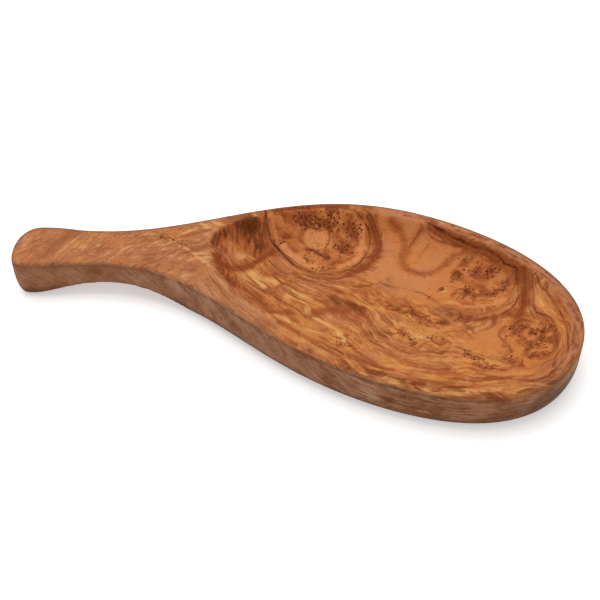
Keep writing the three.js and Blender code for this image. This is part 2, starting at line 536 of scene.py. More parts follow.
@dataclass(frozen=True)
class Figure:
    """How the tree grew: the fields that the finish reads from the surface, drawn in plan."""

    eyes: tuple[BurlEye, ...] = (
        BurlEye((-56, 36), (35, 38, 31, 33, 36, 40, 38, 34, 26, 27.5, 30, 32), 46),
        BurlEye((51, 38), (23, 22.5, 20.5, 20, 21, 21, 20.5, 20, 22.5, 25, 25, 23.5), 30),
        BurlEye((92, -4), (18.5, 18, 21, 23.8, 25.5, 19.6, 14.3, 13.5, 16, 21, 25, 21), 20),
    )
    # Dark veins: round and in the big eye, through the fan, over the far wall, round the small eyes and tip.
    veins: tuple[Stroke, ...] = (
        Stroke(((-95, 34), (-90, 26), (-86, 21), (-82, 18), (-74, 15), (-65, 10), (-57, 8)), 1.3, 1.0),
        Stroke(
            (
                (-57, 8), (-50, 8), (-43, 9), (-36, 12),
                (-31, 17), (-26, 27), (-24, 39), (-26, 49),
            ),
            0.9,
            0.7,
        ),
        Stroke(((-26, 49), (-30, 54), (-35, 57), (-41, 59), (-48, 58)), 0.9, 0.7),
        Stroke(
            (
                (-35, 62), (-27, 58), (-20, 51), (-16.5, 43), (-16, 33),
                (-20, 24), (-28, 14), (-40, 5), (-55, 4),
            ),
            0.8,
            0.55,
        ),
        Stroke(((-33, 59), (-26, 54), (-22, 47), (-20, 38), (-23, 28), (-28, 20)), 0.6, 0.6),
        Stroke(((-79, 5), (-68, 0), (-58, 0), (-45, 1), (-33, 4), (-17, 8), (-6, 17)), 0.8, 0.55),
        Stroke(((-72, -5), (-62, -10), (-52, -11), (-40, -11), (-32, -9)), 0.8, 0.5),
        Stroke(((-79, -22), (-67, -23), (-56, -25), (-44, -28), (-37, -31)), 0.8, 0.55),
        Stroke(((3, 65), (7, 63), (15, 60), (25, 59), (33, 59)), 0.9, 0.5),
        Stroke(
            (
                (8, 67), (20, 64), (31, 62), (41, 60), (51, 59),
                (57, 57), (63, 53), (71, 51), (73, 45),
            ),
            1.3,
            0.9,
        ),
        Stroke(((-6, 16), (12, 18), (24, 18), (35, 13), (44, 9), (55, 11), (66, 19), (76, 30)), 0.9, 0.35),
        Stroke(((71, 50), (74, 45), (77, 37), (78, 30), (76, 24), (72, 19), (67, 15), (60, 9)), 0.9, 0.65),
        Stroke(((75, 50), (78, 44), (80, 36), (82, 28), (82, 22), (81, 16)), 0.6, 0.55),
        Stroke(((78, 50), (81, 44), (84, 36), (86, 29), (89, 23), (93, 19)), 0.6, 0.55),
        Stroke(
            (
                (81, 49), (86, 37), (89, 29), (92, 24), (99, 21),
                (104, 16), (108, 7), (112, -8), (113, -24),
            ),
            0.9,
            0.65,
        ),
        Stroke(
            (
                (84, 48), (90, 40), (95, 36), (106, 23),
                (112, 12), (116, 0), (118, -13), (113, -33),
            ),
            0.9,
            0.6,
        ),
        Stroke(((113, -33), (103, -41), (87, -38), (74, -36)), 0.9, 0.45),
        Stroke(((75, 9), (76, 1), (83, -5), (87, -11)), 0.9, 0.4),
        Stroke(((-61, 25), (-57, 26), (-53, 25), (-47, 24)), 0.8, 0.9),
        Stroke(((-71, 38), (-65, 39), (-58, 41), (-53, 44)), 0.8, 0.7),
        Stroke(((-53, 44), (-50, 36), (-50, 29), (-44, 25)), 0.7, 0.45),
    )
    # Darker wood: the end of the dish, stained and partly painted shade, smudges between the flames, the rim,
    # deck and handle.
    shades: tuple[Stroke, ...] = (
        Stroke(((-108, 20), (-99, 20)), 7, 1.3),
        Stroke(((-113, 3), (-109, 9)), 4.5, 0.5),
        Stroke(((-95, 15), (-89, 13)), 5, 0.5),
        # Painted shade along the dish's steep left lip.
        Stroke(((-116, 2), (-108, -16), (-96, -29), (-84, -38)), 2.4, 0.6),
        Stroke(((-33, 62), (-24, 56), (-19, 46), (-18, 36), (-21, 25), (-29, 13), (-38, 7)), 3.0, 0.5),
        Stroke(((-121, -19), (-117, -15), (-113, -11)), 2.2, 0.9),
        Stroke(((-133, -11), (-126, -4), (-119, 3)), 1.8, 0.9),
        Stroke(((-28, -7), (-18, -9), (-10, -10)), 5, 0.8),
        Stroke(((-62, -12), (-50, -14)), 2.5, 0.6),
        Stroke(((-70, -38), (-60, -42)), 4, 0.6),
        Stroke(((2, -28), (14, -24)), 4, 0.6),
        Stroke(((-18, -52), (0, -56), (18, -58)), 3, 0.5),
        Stroke(((54, 7), (67, 14), (77, 22)), 3.5, 0.55),
        Stroke(((57, -1),), 7, 0.45),
        Stroke(((12, 0), (28, -1), (44, -6)), 6, 0.35),
        # Darker wood with painted shade on the dish's far inner wall.
        Stroke(((10, 66), (25, 63), (50, 58), (75, 49)), 4, 1.1),
        Stroke(((100, 36), (117, 14), (121, -6), (117, -25)), 4.5, 0.35),
        # Darker wood with painted shade on the far right rim.
        Stroke(((40, 66), (60, 60), (80, 52), (96, 42)), 3, 0.55),
        Stroke(((81, 7),), 6, 0.4),
        Stroke(((18, -70), (28, -69)), 2, 0.9),
        Stroke(((40, -69), (50, -68)), 2, 0.9),
        Stroke(((62, -64), (72, -60)), 2, 0.9),
        Stroke(((-198, -34), (-202, -47), (-204, -64)), 5, 0.55),
    )
    # Soft brown bands: the calm field, beside the big eye and in it, the chevron, round the second eye.
    bands: tuple[Stroke, ...] = (
        Stroke(((-17, 62), (-8, 58), (-3, 52), (-1, 42), (4, 36)), 3.8, 0.72),
        Stroke(((-1, 42), (4, 36), (13, 34), (21, 39), (30, 53)), 3.2, 0.68),
        Stroke(((4, 63), (2, 56), (0, 44)), 3.6, 0.62),
        Stroke(((4, 63), (2, 58), (0, 51)), 1.2, 0.9),
        Stroke(((12, 57), (10, 51), (9, 43)), 1.4, 0.5),
        Stroke(((5, 35), (13, 35), (20, 37)), 3.2, 0.8),
        Stroke(((-31, 59), (-24, 53), (-19, 46), (-18, 36), (-21, 26), (-28, 16)), 3.2, 1.0),
        Stroke(((76, 51), (79, 44), (81, 36), (83, 28), (82, 20)), 4.4, 0.9),
        Stroke(((80, 25), (74, 18), (66, 13), (56, 8)), 2.8, 0.8),
        Stroke(((12, 66), (31, 62), (51, 59), (63, 54), (73, 50)), 2.6, 0.9),
        Stroke(((70, 52), (74, 49), (75, 44)), 3.4, 1.2),
        Stroke(((-79, 13), (-82, 7), (-85, -1), (-88, -9)), 2.6, 1.0),
        Stroke(((-87, -7), (-91, -15), (-96, -20), (-102, -22)), 4.6, 0.95),
        Stroke(((-56, -43), (-52, -37), (-46, -34)), 4.2, 0.75),
        Stroke(((-35, -30), (-31, -23), (-25, -18), (-16, -16)), 4.6, 0.75),
        Stroke(((-64, -15), (-62, -9), (-58, -8)), 1.8, 0.75),
        Stroke(((-69, -37), (-68, -29)), 1.8, 0.6),
        Stroke(((26, 50), (31, 54), (37, 57)), 2, 0.6),
        Stroke(((85, 24), (92, 20), (98, 17)), 3, 0.5),
        # Darker wood with painted shade on the far-left inner wall.
        Stroke(((-90, 38), (-76, 47), (-62, 55), (-48, 61)), 3.5, 1.0),
        Stroke(((-80, 38), (-74, 42), (-66, 47)), 4.5, 0.75),
        Stroke(((-78, 31), (-72, 27), (-66, 22)), 4, 0.45),
        Stroke(((-42, 37), (-36, 34)), 6, 0.5),
        Stroke(((-42, 51), (-36, 46)), 5, 0.65),
        Stroke(((30, 62), (50, 57), (66, 50)), 4, 0.8),
        Stroke(((34, 43), (44, 38), (55, 37)), 3.2, 0.65),
        Stroke(((37, 50), (44, 53), (54, 50)), 2.2, 0.5),
    )
    # Crumbly wood: the middle of the dish and the near side of its floor.
    crumbles: tuple[Stroke, ...] = (
        Stroke(((0, 2), (20, 2), (40, -4)), 9, 1.0),
        Stroke(((20, -18), (40, -18), (56, -4)), 9, 1.0),
        Stroke(((58, -22), (74, -25), (86, -26)), 7, 1.0),
        Stroke(((-16, -44), (0, -44)), 8, 0.8),
        Stroke(((-58, -30), (-30, -38), (0, -38), (30, -44)), 12, 0.45),
    )
    # Paler wood: the far left, the fan, by the chevron, in and between the eyes, the deck, handle and edge.
    golds: tuple[Stroke, ...] = (
        Stroke(((-126, 1), (-116, 13), (-104, 29), (-92, 40)), 4, 0.25),
        Stroke(((-103, 0), (-96, -3)), 4.5, 1.4),
        Stroke(((-87, -10), (-80, -13), (-72, -18)), 4.5, 0.95),
        Stroke(((-72, -11), (-58, -12), (-44, -16)), 4, 0.75),
        Stroke(((-180, -31), (-164, -24), (-154, -17), (-145, -15)), 1.6, 0.6),
        Stroke(((-143, -15), (-134, -16), (-129, -19), (-120, -21), (-109, -26), (-100, -30)), 1.4, 1.3),
        Stroke(((-133, -6), (-128, 1)), 1.6, 1.0),
        Stroke(((-128, 6), (-121, 4), (-116, 3)), 1.8, 1.1),
        Stroke(((-122, 11), (-116, 10)), 1.6, 1.0),
        Stroke(((-215, -73), (-205, -69), (-196, -65)), 2.5, 0.5),
        Stroke(((-55, -18), (-41, -21), (-36, -29)), 3, 0.8),
        Stroke(((-51, -42), (-42, -43), (-29, -44)), 4, 0.75),
        Stroke(((-32, -30), (-22, -32), (-13, -35), (-6, -44)), 2.4, 0.9),
        Stroke(((8, 50), (10, 40), (18, 30)), 10, 0.15),
        Stroke(((40, 18), (50, 18), (60, 22), (70, 30)), 3, 0.8),
        Stroke(((90, 35), (94, 30)), 3.5, 0.7),
        Stroke(((33, 27),), 6, 0.6),
        Stroke(((13, -12), (26, -16), (38, -18)), 3, 0.8),
        Stroke(((-60, 33), (-54, 35)), 7.5, 1.2),
        Stroke(((-87, 27), (-79, 21), (-68, 16), (-56, 13), (-45, 15)), 3.6, 0.95),
        Stroke(((-36, 19), (-29, 30), (-29, 42), (-33, 52)), 3.6, 0.85),
        Stroke(((-186, -48),), 8, 0.25),
        Stroke(((-212, -60),), 8, 0.25),
        Stroke(((-115, -21), (-110, -20)), 2, 0.9),
        Stroke(((16, -74), (45, -72.5), (70, -66), (90, -54)), 2.4, 0.5),
    )
    # Clusters of pin knots.
    clusters: tuple[Stroke, ...] = (
        Stroke(((-71, 40), (-65, 42), (-58, 45), (-53, 47)), 3.8, 1.3),
        Stroke(((-58, 51), (-54, 55)), 3.5, 1.1),
        Stroke(((-41, 50), (-37, 48)), 4.5, 1.0),
        Stroke(((-39, 36),), 7, 1.1),
        Stroke(((-88, 36), (-86, 40)), 3, 0.9),
        Stroke(((-78, 47), (-70, 50)), 4, 0.9),
        Stroke(((-59, 25), (-53, 25), (-46, 24)), 2.6, 1.0),
        Stroke(((-57, 17),), 4, 0.9),
        Stroke(((-46, 14),), 3, 0.8),
        Stroke(((-79, 21),), 3.5, 0.8),
        Stroke(((37, 42),), 4, 1.3),
        Stroke(((37, 52),), 2.5, 1.0),
        Stroke(((47, 46),), 4, 1.0),
        Stroke(((57, 48),), 4.5, 1.2),
        Stroke(((47, 30),), 4.5, 1.1),
        Stroke(((62, 33), (67, 38)), 3, 1.2),
        Stroke(((69, 43),), 2, 1.2),
        Stroke(((86, 10),), 4.5, 1.2),
        Stroke(((95, 8), (102, 10)), 4, 1.3),
        Stroke(((95, -4), (101, 0)), 4, 1.1),
        Stroke(((100, -13),), 4, 1.0),
        Stroke(((31, 27),), 1.3, 3.0),
        Stroke(((27, 16),), 2.5, 1.0),
        Stroke(((50, 8),), 3.5, 1.0),
        Stroke(((19, -1), (33, -4)), 3, 0.8),
        Stroke(((41, -15),), 3, 1.0),
        Stroke(((22, -20), (34, -26)), 3, 0.8),
        Stroke(((63, -21), (75, -23)), 3.5, 0.9),
        Stroke(((80, -27),), 4, 1.0),
        Stroke(((88, -17),), 3, 1.0),
        Stroke(((-13, -41), (-3, -43)), 4, 0.5),
        Stroke(((-144, -16), (-136, -16), (-128, -18)), 1.8, 1.1),
    )
    # The combed dark stain where the dish starts, darkened further as painted shade on the dish's steep end.
    combs: tuple[Stroke, ...] = (
        Stroke(((-112, 2), (-92, 16)), 16, 1.1),
        Stroke(((-108, 19), (-99, 23)), 8, 1.1),
        Stroke(((-104, -18), (-84, -33)), 8, 0.8),
    )
    # Calm, even wood: the far field, beside the second eye and between the eyes.
    calms: tuple[Stroke, ...] = (
        Stroke(((-12, 58), (2, 48), (12, 34), (20, 24)), 16, 1.2),
        Stroke(((-14, 54), (-9, 41), (-8, 30), (-10, 22)), 5, 1.1),
        Stroke(((-26, 12), (-14, 17), (0, 20)), 4.5, 0.3),
        Stroke(((20, 52), (30, 27)), 13, 1.2),
        Stroke(((33, 25), (50, 19), (64, 21), (72, 30)), 6, 1.1),
        Stroke(((64, -12), (76, -4)), 9, 1.2),
        Stroke(((90, 35), (95, 29)), 4, 0.8),
        Stroke(((98, -27), (88, -32)), 6, 0.6),
    )
    # Curly wood in the flames of the floor.
    curls: tuple[Stroke, ...] = (Stroke(((-40, -40), (0, -35), (40, -25), (70, -25)), 28, 1.0),)
    # How the grain runs, and where one kind of wood passes into the next, in millimetres and degrees.
    wrap_start: float = 20
    wrap_squash: float = 0.6
    height_slope: float = 0.5
    plank_slope: float = 0.42
    vein_reach: float = 4
    edge_reach: float = 6
    curl_lean: Pair = (74, 42)
    lean_span: Pair = (-210, -110)
    curl_middle: Pair = (-150, -20)
    lip_blend: Pair = (-2.5, 1.5)
    base_blend: Pair = (9, 11)
    start_blend: Pair = (-106, -82)
    start_shift: Pair = (1.5, 4.5)
    skirt: Pair = (1, 7)
    tip_blend: Pair = (55, 105)
    deck_end: Pair = (-62, -18)
    edge_height: float = 25.2
    edge_half: float = 0.9
    turn_length: float = 100
    # The turn of the photograph's view in degrees, which says which edge is the far one.
    far_turn: float = 24

    def growth(self, x: np.ndarray, y: np.ndarray, z: np.ndarray) -> np.ndarray:
        """Gives the growth rings' field in millimetres: its level lines are the grain.

        Args:
            x: the points' places along X.
            y: the points' places along Y.
            z: the points' heights.

        Returns:
            The field at each point.
        """
        ahead = self.wrap_squash * np.maximum(x - self.wrap_start, 0)
        turn = np.degrees(np.arctan2(y, ahead))
        field = np.hypot(ahead, y) * (2 * smoothstep(40, 88, turn) - 1)
        field = field + self.height_slope * z + self.plank_slope * np.minimum(x - self.wrap_start, 0)
        for eye in self.eyes:
            field = field + eye.bulge * np.exp(-0.9 * eye.share(x, y) ** 2)
        return field

    def ring_weight(self, x: np.ndarray, y: np.ndarray) -> np.ndarray:
        """Says how strongly rings show round the eyes: on their near and right sides.

        Args:
            x: the points' places along X.
            y: the points' places along Y.

        Returns:
            The strength at each point.
        """
        weight = np.zeros_like(x)
        for eye in self.eyes:
            share = eye.share(x, y)
            turn = np.arctan2(y - eye.middle[1], x - eye.middle[0])
            facing = smoothstep(-0.35, 0.6, np.cos(turn + np.radians(35)))
            band = smoothstep(0.9, 0.98, share) * (1 - smoothstep(1.02, 1.18, share))
            weight = np.maximum(weight, facing * band)
        return weight

    def vein_lines(self, x: np.ndarray, y: np.ndarray) -> tuple[np.ndarray, np.ndarray]:
        """Measures the dark veins.

        Args:
            x: the points' places along X.
            y: the points' places along Y.

        Returns:
            The half widths that each point lies off its nearest vein, and that vein's strength there.
        """
        nearest = np.full_like(x, self.vein_reach)
        strength = np.zeros_like(x)
        for vein in self.veins:
            off = vein.widths_off(x, y, self.vein_reach)
            closer = np.abs(off) < np.abs(nearest)
            nearest[closer] = off[closer]
            strength[closer] = vein.strength
        return nearest, strength * (1 - smoothstep(2.2, 3.6, np.abs(nearest)))

    def far_edge(self, x: np.ndarray, y: np.ndarray, outline: np.ndarray) -> np.ndarray:
        """Says how close each point lies to the plank's far edge, which is darker in the photograph.

        Args:
            x: the points' places along X.
            y: the points' places along Y.
            outline: the plank's outline in plan.

        Returns:
            The closeness, 1 on the edge.
        """
        # The closeness says where painted shade darkens the far top edge.
        onward = np.roll(outline, -1, axis=0) - np.roll(outline, 1, axis=0)
        turn = np.radians(self.far_turn)
        back = np.array([-np.sin(turn), np.cos(turn)])
        facing = (onward[:, 1] * back[0] - onward[:, 0] * back[1]) / np.hypot(*onward.T)
        far = outline[facing > 0.1]
        off = np.full_like(x, np.inf)
        for point in far:
            off = np.minimum(off, np.hypot(x - point[0], y - point[1]))
        return np.exp(-((off / self.edge_reach) ** 2))

    def paint(self, mesh: bpy.types.Mesh, lip: np.ndarray, outline: np.ndarray) -> None:
        """Stores the fields on the surface's points.

        Args:
            mesh: the finished surface, in metres.
            lip: the dish's lip in plan, in millimetres.
            outline: the plank's outline in plan, in millimetres.
        """
        count = len(mesh.vertices)
        places, normals = np.empty(count * 3), np.empty(count * 3)
        mesh.vertices.foreach_get("co", places)
        mesh.vertex_normals.foreach_get("vector", normals)
        x, y, z = (places.reshape(-1, 3) / MM).T
        onward, _, upward = normals.reshape(-1, 3).T
        lip_turn, lip_reach = np.arctan2(lip[:, 1], lip[:, 0]), np.hypot(lip[:, 0], lip[:, 1])
        lip_here = np.interp(np.arctan2(y, x), lip_turn, lip_reach, period=2 * np.pi)
        hem = np.hypot(x, y) - lip_here
        base = 1 - smoothstep(*self.base_blend, z)
        outside = np.maximum(smoothstep(*self.lip_blend, hem), base)
        start = 1 - smoothstep(*self.start_blend, x)
        inner = self.lip_blend[0] + self.start_shift[0] * start
        outer = self.lip_blend[1] + self.start_shift[1] * start
        deck = np.maximum(smoothstep(inner, outer, hem), base)
        above = smoothstep(*self.skirt, z)
        tip = smoothstep(*self.tip_blend, x)
        under = smoothstep(0.1, 0.45, -upward)
        sawn = (1 - smoothstep(0.3, 0.72, upward)) * (1 - smoothstep(0.88, 0.99, -upward))
        # Painted shade along the top edge, where the rim rounds over into the side wall.
        edge = np.exp(-(((z - self.edge_height) / self.edge_half) ** 2)) * (0.8 + 0.2 * smoothstep(-60, 0, x))
        lean = np.radians(np.interp(x, self.lean_span, self.curl_lean))
        ahead, aside = x - self.curl_middle[0], y - self.curl_middle[1]
        vein, ink = self.vein_lines(x, y)
        strokes = {
            Field.SHADE: self.shades,
            Field.GOLD: self.golds,
            Field.KNOTS: self.clusters,
            Field.COMB: self.combs,
            Field.CALM: self.calms,
            Field.BAND: self.bands,
            Field.CRUMBLE: self.crumbles,
        }
        fields = {field: strongest(group, x, y) * above for field, group in strokes.items()}
        fields[Field.COMB] *= 1 - deck
        deck = deck * (1 - smoothstep(*self.deck_end, x))
        # Painted shade: darker low on the side wall, a little darker on the tip's wall, and darkest on the
        # rounding that faces down.
        low = [(1 - 0.15 * tip) * (1 - smoothstep(3, 12, z)), 0.1 * tip, 1.1 * under]
        fields |= {
            Field.GROWTH: self.growth(x, y, z),
            Field.BURL: np.min([eye.share(x, y) for eye in self.eyes], axis=0),
            Field.VEIN: vein,
            Field.INK: ink * above,
            Field.RINGS: self.ring_weight(x, y) * above,
            Field.CURLY: 0.25 + 0.75 * strongest(self.curls, x, y),
            Field.HEM: hem,
            Field.AROUND: self.turn_length * np.arctan2(y, x),
            Field.PLAIN: smoothstep(-118, -92, x) * (1 - smoothstep(-20, 0, y)),
            Field.CURL_ALONG: np.cos(lean) * ahead + np.sin(lean) * aside,
            Field.CURL_ACROSS: np.cos(lean) * aside - np.sin(lean) * ahead,
            Field.DECK: deck * (1 - smoothstep(-114, -98, x) * smoothstep(14, 28, y)),
            Field.RIM: outside * smoothstep(-45, -15, x) * smoothstep(0.5, 0.9, upward),
            Field.WALL: outside * sawn * (1 - 0.5 * tip * smoothstep(17, 24, z)),
            Field.EDGE: outside * edge * (1 - 0.4 * tip),
            # Painted shade on the lower end wall of the tip, which faces away from the lamp.
            Field.END_SHADE: outside * smoothstep(0.35, 0.95, onward) * (1 - smoothstep(12, 25, z)),
            # Painted shade on the far top edge.
            Field.FAR_EDGE_SHADE: self.far_edge(x, y, outline) * smoothstep(20, 26, z),
            Field.LAYERS: z - 18 * np.logaddexp(0, -(x + 10) / 20),
            Field.LOW: outside * np.max(low, axis=0),
        }
        for field, values in fields.items():
            mesh.attributes.new(field.value, "FLOAT", "POINT").data.foreach_set("value", values)


@dataclass(frozen=True)
class OiledOliveWood:
    """Olive wood, carved, sanded and oiled: golden flames, dark burl lines and a soft satin sheen.

    Lengths are the real ones in millimetres, except where a comment says so. A pair is a figure's length and
    width or a turn's cosine and sine, and the colour is laid on in the order that build gives.
    """

    name: str = "oiled_olive_wood"
    wander_size: float = 26
    wander_reach: float = 9
    ripple_size: float = 6
    ripple_reach: float = 2.4
    flame: Pair = (38, 7)
    feather: Pair = (8, 14)
    flame_line: Pair = (70, 4.2)
    broad_line: Pair = (110, 11)
    fine_line: Pair = (55, 2.2)
    # Real fibres are too fine to show, so they are drawn as coarse as a render needs.
    fibre: Pair = (11, 0.8)
    flame_patch: float = 18
    swirl_size: float = 6.5
    swirl_squash: float = 0.5
    swirl_turn: Pair = (0.97, 0.23)
    stroke_grain: Pair = (20, 3.2)
    mottle_size: float = 9
    eye_waver: float = 12
    comb: Pair = (10, 2)
    comb_turn: Pair = (0.91, 0.41)
    edge_waver: float = 8
    band_fibre: Pair = (9, 1.3)
    band_turn: float = 14
    broad_waver: float = 14
    cloud_size: float = 13
    deck_curl: Pair = (7, 2.4)
    deck_broad: Pair = (26, 10)
    deck_fleck: Pair = (2.6, 1.1)
    deck_layer: Pair = (40, 5)
    deck_line: Pair = (45, 2.2)
    rim_patch: Pair = (11, 5)
    vein_patch: float = 9
    blotch_size: float = 3.2
    knot_spacing: float = 1.8
    wall_streak: Pair = (14, 4)
    wall_fibre: Pair = (16, 0.9)
    wall_line: Pair = (60, 2.3)
    # Real pores are under 0.1 mm, too fine to show, so they are drawn about ten times as coarse.
    pore_shape: tuple[float, float, float] = (2.4, 1.1, 1.1)
    roughness: float = 0.55
    specular: float = 0.05

    def build(self) -> bpy.types.Material:
        """Builds the finish.

        Returns:
            The material.
        """
        material = bpy.data.materials.new(self.name)
        material.use_nodes = True
        tree = material.node_tree
        tree.nodes.clear()
        place = add(tree, Kind.PLACE, out="Object")
        place = add(tree, Kind.VECTOR, {0: place, "Scale": 1 / MM}, operation="SCALE")
        colour = self.flames(tree, place)
        colour = self.crumbly_burl(tree, place, colour)
        colour = self.strokes(tree, place, colour)
        colour = self.burl_eyes(tree, place, colour)
        colour = self.combed_stain_and_shade(tree, place, colour)
        colour = self.soft_bands(tree, place, colour)
        colour = self.quiet_deck(tree, place, colour)
        colour = self.worn_rim(tree, place, colour)
        colour = self.veins(tree, place, colour)
        colour = self.pin_knots(tree, place, colour)
        colour = self.sawn_wall(tree, place, colour)
        colour = self.pores(tree, place, colour)
        shader = add(
            tree,
            Kind.SURFACE,
            {"Base Color": colour, "Roughness": self.roughness, "Specular IOR Level": self.specular},
        )
        add(tree, Kind.OUTPUT, {"Surface": shader})
        return material

    def grain(
        self,
        tree: Tree,
        along: Socket | Field,
        across: Socket | Field,
        size: Pair,
        detail: float,
    ) -> Socket:
        """Draws noise out along the grain.

        Args:
            tree: the finish's nodes.
            along: the place along the grain.
            across: the place across the grain.
            size: the figure's length and width.
            detail: how much finer figure is added.

        Returns:
            The noise, about 0.5.
        """
        along = add(tree, Kind.MATH, {0: along, 1: 1 / size[0]}, operation="MULTIPLY")
        across = add(tree, Kind.MATH, {0: across, 1: 1 / size[1]}, operation="MULTIPLY")
        spot = add(tree, Kind.JOIN, {0: along, 1: across})
        return add(tree, Kind.NOISE, {"Vector": spot, "Scale": 1.0, "Detail": detail, "Roughness": 0.6})

    def lay(
        self,
        tree: Tree,
        under: Socket,
        over: Socket | Tone,
        guide: Socket | Field,
        span: Pair,
        strength: Pair,
    ) -> Socket:
        """Lays one colour over another where a guide says so.

        Args:
            tree: the finish's nodes.
            under: the colour so far.
            over: the colour that is laid on.
            guide: the value that says where.
            span: the guide's values where the change starts and ends.
            strength: the share of the new colour at those two values.

        Returns:
            The new colour.
        """
        share = add(
            tree,
            Kind.RANGE,
            {0: guide, 1: span[0], 2: span[1], 3: strength[0], 4: strength[1]},
            interpolation_type="SMOOTHSTEP",
        )
        return add(tree, Kind.MIX, {0: share, 6: under, 7: over}, 2, data_type="RGBA")

    def contour(
        self,
        tree: Tree,
        under: Socket,
        over: Tone,
        figure: Socket,
        half: float,
        weight: Socket | float,
    ) -> Socket:
        """Draws thin lines along the middle level of a figure.

        Args:
            tree: the finish's nodes.
            under: the colour so far.
            over: the lines' colour.
            figure: the noise whose level 0.5 is drawn.
            half: how far from that level a line fades out.
            weight: the lines' strength.

        Returns:
            The new colour.
        """
        off = add(tree, Kind.MATH, {0: figure, 1: -0.5}, operation="ADD")
        off = add(tree, Kind.MATH, {0: off}, operation="ABSOLUTE")
        line = add(
            tree, Kind.RANGE, {0: off, 1: 0.0, 2: half, 3: 1.0, 4: 0.0}, interpolation_type="SMOOTHSTEP"
        )
        share = add(tree, Kind.MATH, {0: line, 1: weight}, operation="MULTIPLY")
        return add(tree, Kind.MIX, {0: share, 6: under, 7: over}, 2, data_type="RGBA")

    def wavering(self, tree: Tree, place: Socket) -> Socket:
        """Gives the growth field with the wood's own waver, which is strongest in the flames.

        Args:
            tree: the finish's nodes.
            place: the place on the piece, in millimetres.

        Returns:
            The field, in millimetres.
        """
        wander = add(tree, Kind.NOISE, {"Vector": place, "Scale": 1 / self.wander_size, "Detail": 1.0})
        reach = 2 * self.wander_reach
        field = add(tree, Kind.MATH, {0: wander, 1: reach, 2: Field.GROWTH}, operation="MULTIPLY_ADD")
        ripple = add(tree, Kind.NOISE, {"Vector": place, "Scale": 1 / self.ripple_size, "Detail": 2.0})
        ripple = add(tree, Kind.MATH, {0: ripple, 1: 2 * self.ripple_reach}, operation="MULTIPLY")
        return add(tree, Kind.MATH, {0: ripple, 1: Field.CURLY, 2: field}, operation="MULTIPLY_ADD")

    def flames(self, tree: Tree, place: Socket) -> Socket:
        """Gives the flames, growth lines and fibres that follow the rings, quiet where the wood is calm.

        Args:
            tree: the finish's nodes.
            place: the place on the piece, in millimetres.

        Returns:
            The first colour.
        """
        x = add(tree, Kind.SPLIT, {0: place})
        growth = self.wavering(tree, place)
        flame = self.grain(tree, x, growth, self.flame, 3)
        colour = add(
            tree,
            Kind.TONES,
            {0: flame},
            stops=(
                (0.34, Tone.BROWN),
                (0.42, Tone.RUSSET),
                (0.5, Tone.HONEY),
                (0.58, Tone.GOLD),
                (0.68, Tone.STRAW),
            ),
        )
        feather = self.grain(tree, x, growth, self.feather, 2)
        colour = self.lay(tree, colour, Tone.BROWN, feather, (0.48, 0.68), (0.0, 0.45))
        colour = self.lay(tree, colour, Tone.STRAW, feather, (0.32, 0.46), (0.45, 0.0))
        colour = self.lay(tree, colour, Tone.HONEY, Field.CALM, (0.05, 0.6), (0.0, 0.9))
        lively = add(tree, Kind.RANGE, {0: Field.CALM, 1: 0.05, 2: 0.5, 3: 1.0, 4: 0.0})
        patch = add(tree, Kind.NOISE, {"Vector": place, "Scale": 1 / self.flame_patch, "Detail": 1.0})
        weight = add(tree, Kind.RANGE, {0: patch, 1: 0.35, 2: 0.65, 3: 0.1, 4: 0.7})
        weight = add(tree, Kind.MATH, {0: weight, 1: lively}, operation="MULTIPLY")
        colour = self.lay(tree, colour, Tone.PINK, patch, (0.42, 0.62), (0.0, 0.5))
        line = self.grain(tree, x, growth, self.flame_line, 1)
        colour = self.contour(tree, colour, Tone.UMBER, line, 0.04, weight)
        broad = self.grain(tree, x, growth, self.broad_line, 1)
        colour = self.contour(tree, colour, Tone.UMBER, broad, 0.025, weight)
        fine = self.grain(tree, x, growth, self.fine_line, 1)
        share = add(tree, Kind.MATH, {0: lively, 1: 0.38}, operation="MULTIPLY")
        colour = self.contour(tree, colour, Tone.BROWN, fine, 0.07, share)
        fibre = self.grain(tree, x, growth, self.fibre, 2)
        fibre = add(tree, Kind.MATH, {0: fibre, 1: lively}, operation="MULTIPLY")
        return self.lay(tree, colour, Tone.BROWN, fibre, (0.45, 0.72), (0.0, 0.38))

    def crumbly_burl(self, tree: Tree, place: Socket, colour: Socket) -> Socket:
        """Lays the crumbly wood between the eyes: small swirls of pale and red wood with thin broken lines.

        Args:
            tree: the finish's nodes.
            place: the place on the piece, in millimetres.
            colour: the colour so far.

        Returns:
            The new colour.
        """
        x = add(tree, Kind.SPLIT, {0: place})
        y = x.node.outputs[1]
        ahead, aside = self.swirl_turn
        squash = self.swirl_squash
        along = add(tree, Kind.MATH, {0: x, 1: ahead * squash}, operation="MULTIPLY")
        along = add(tree, Kind.MATH, {0: y, 1: -aside * squash, 2: along}, operation="MULTIPLY_ADD")
        across = add(tree, Kind.MATH, {0: x, 1: aside}, operation="MULTIPLY")
        across = add(tree, Kind.MATH, {0: y, 1: ahead, 2: across}, operation="MULTIPLY_ADD")
        spot = add(tree, Kind.JOIN, {0: along, 1: across})
        swirl = add(
            tree,
            Kind.NOISE,
            {
                "Vector": spot,
                "Scale": 1 / self.swirl_size,
                "Detail": 4.0,
                "Roughness": 0.6,
                "Distortion": 1.0,
            },
        )
        wood = add(
            tree,
            Kind.TONES,
            {0: swirl},
            stops=((0.36, Tone.UMBER), (0.44, Tone.RUSSET), (0.52, Tone.HONEY), (0.62, Tone.GOLD)),
        )
        wood = self.contour(tree, wood, Tone.UMBER, swirl, 0.012, 0.6)
        crumble = add(tree, Kind.MATH, {0: swirl, 1: 0.8, 2: Field.CRUMBLE}, operation="MULTIPLY_ADD")
        return self.lay(tree, colour, wood, crumble, (0.6, 1.1), (0.0, 0.8))

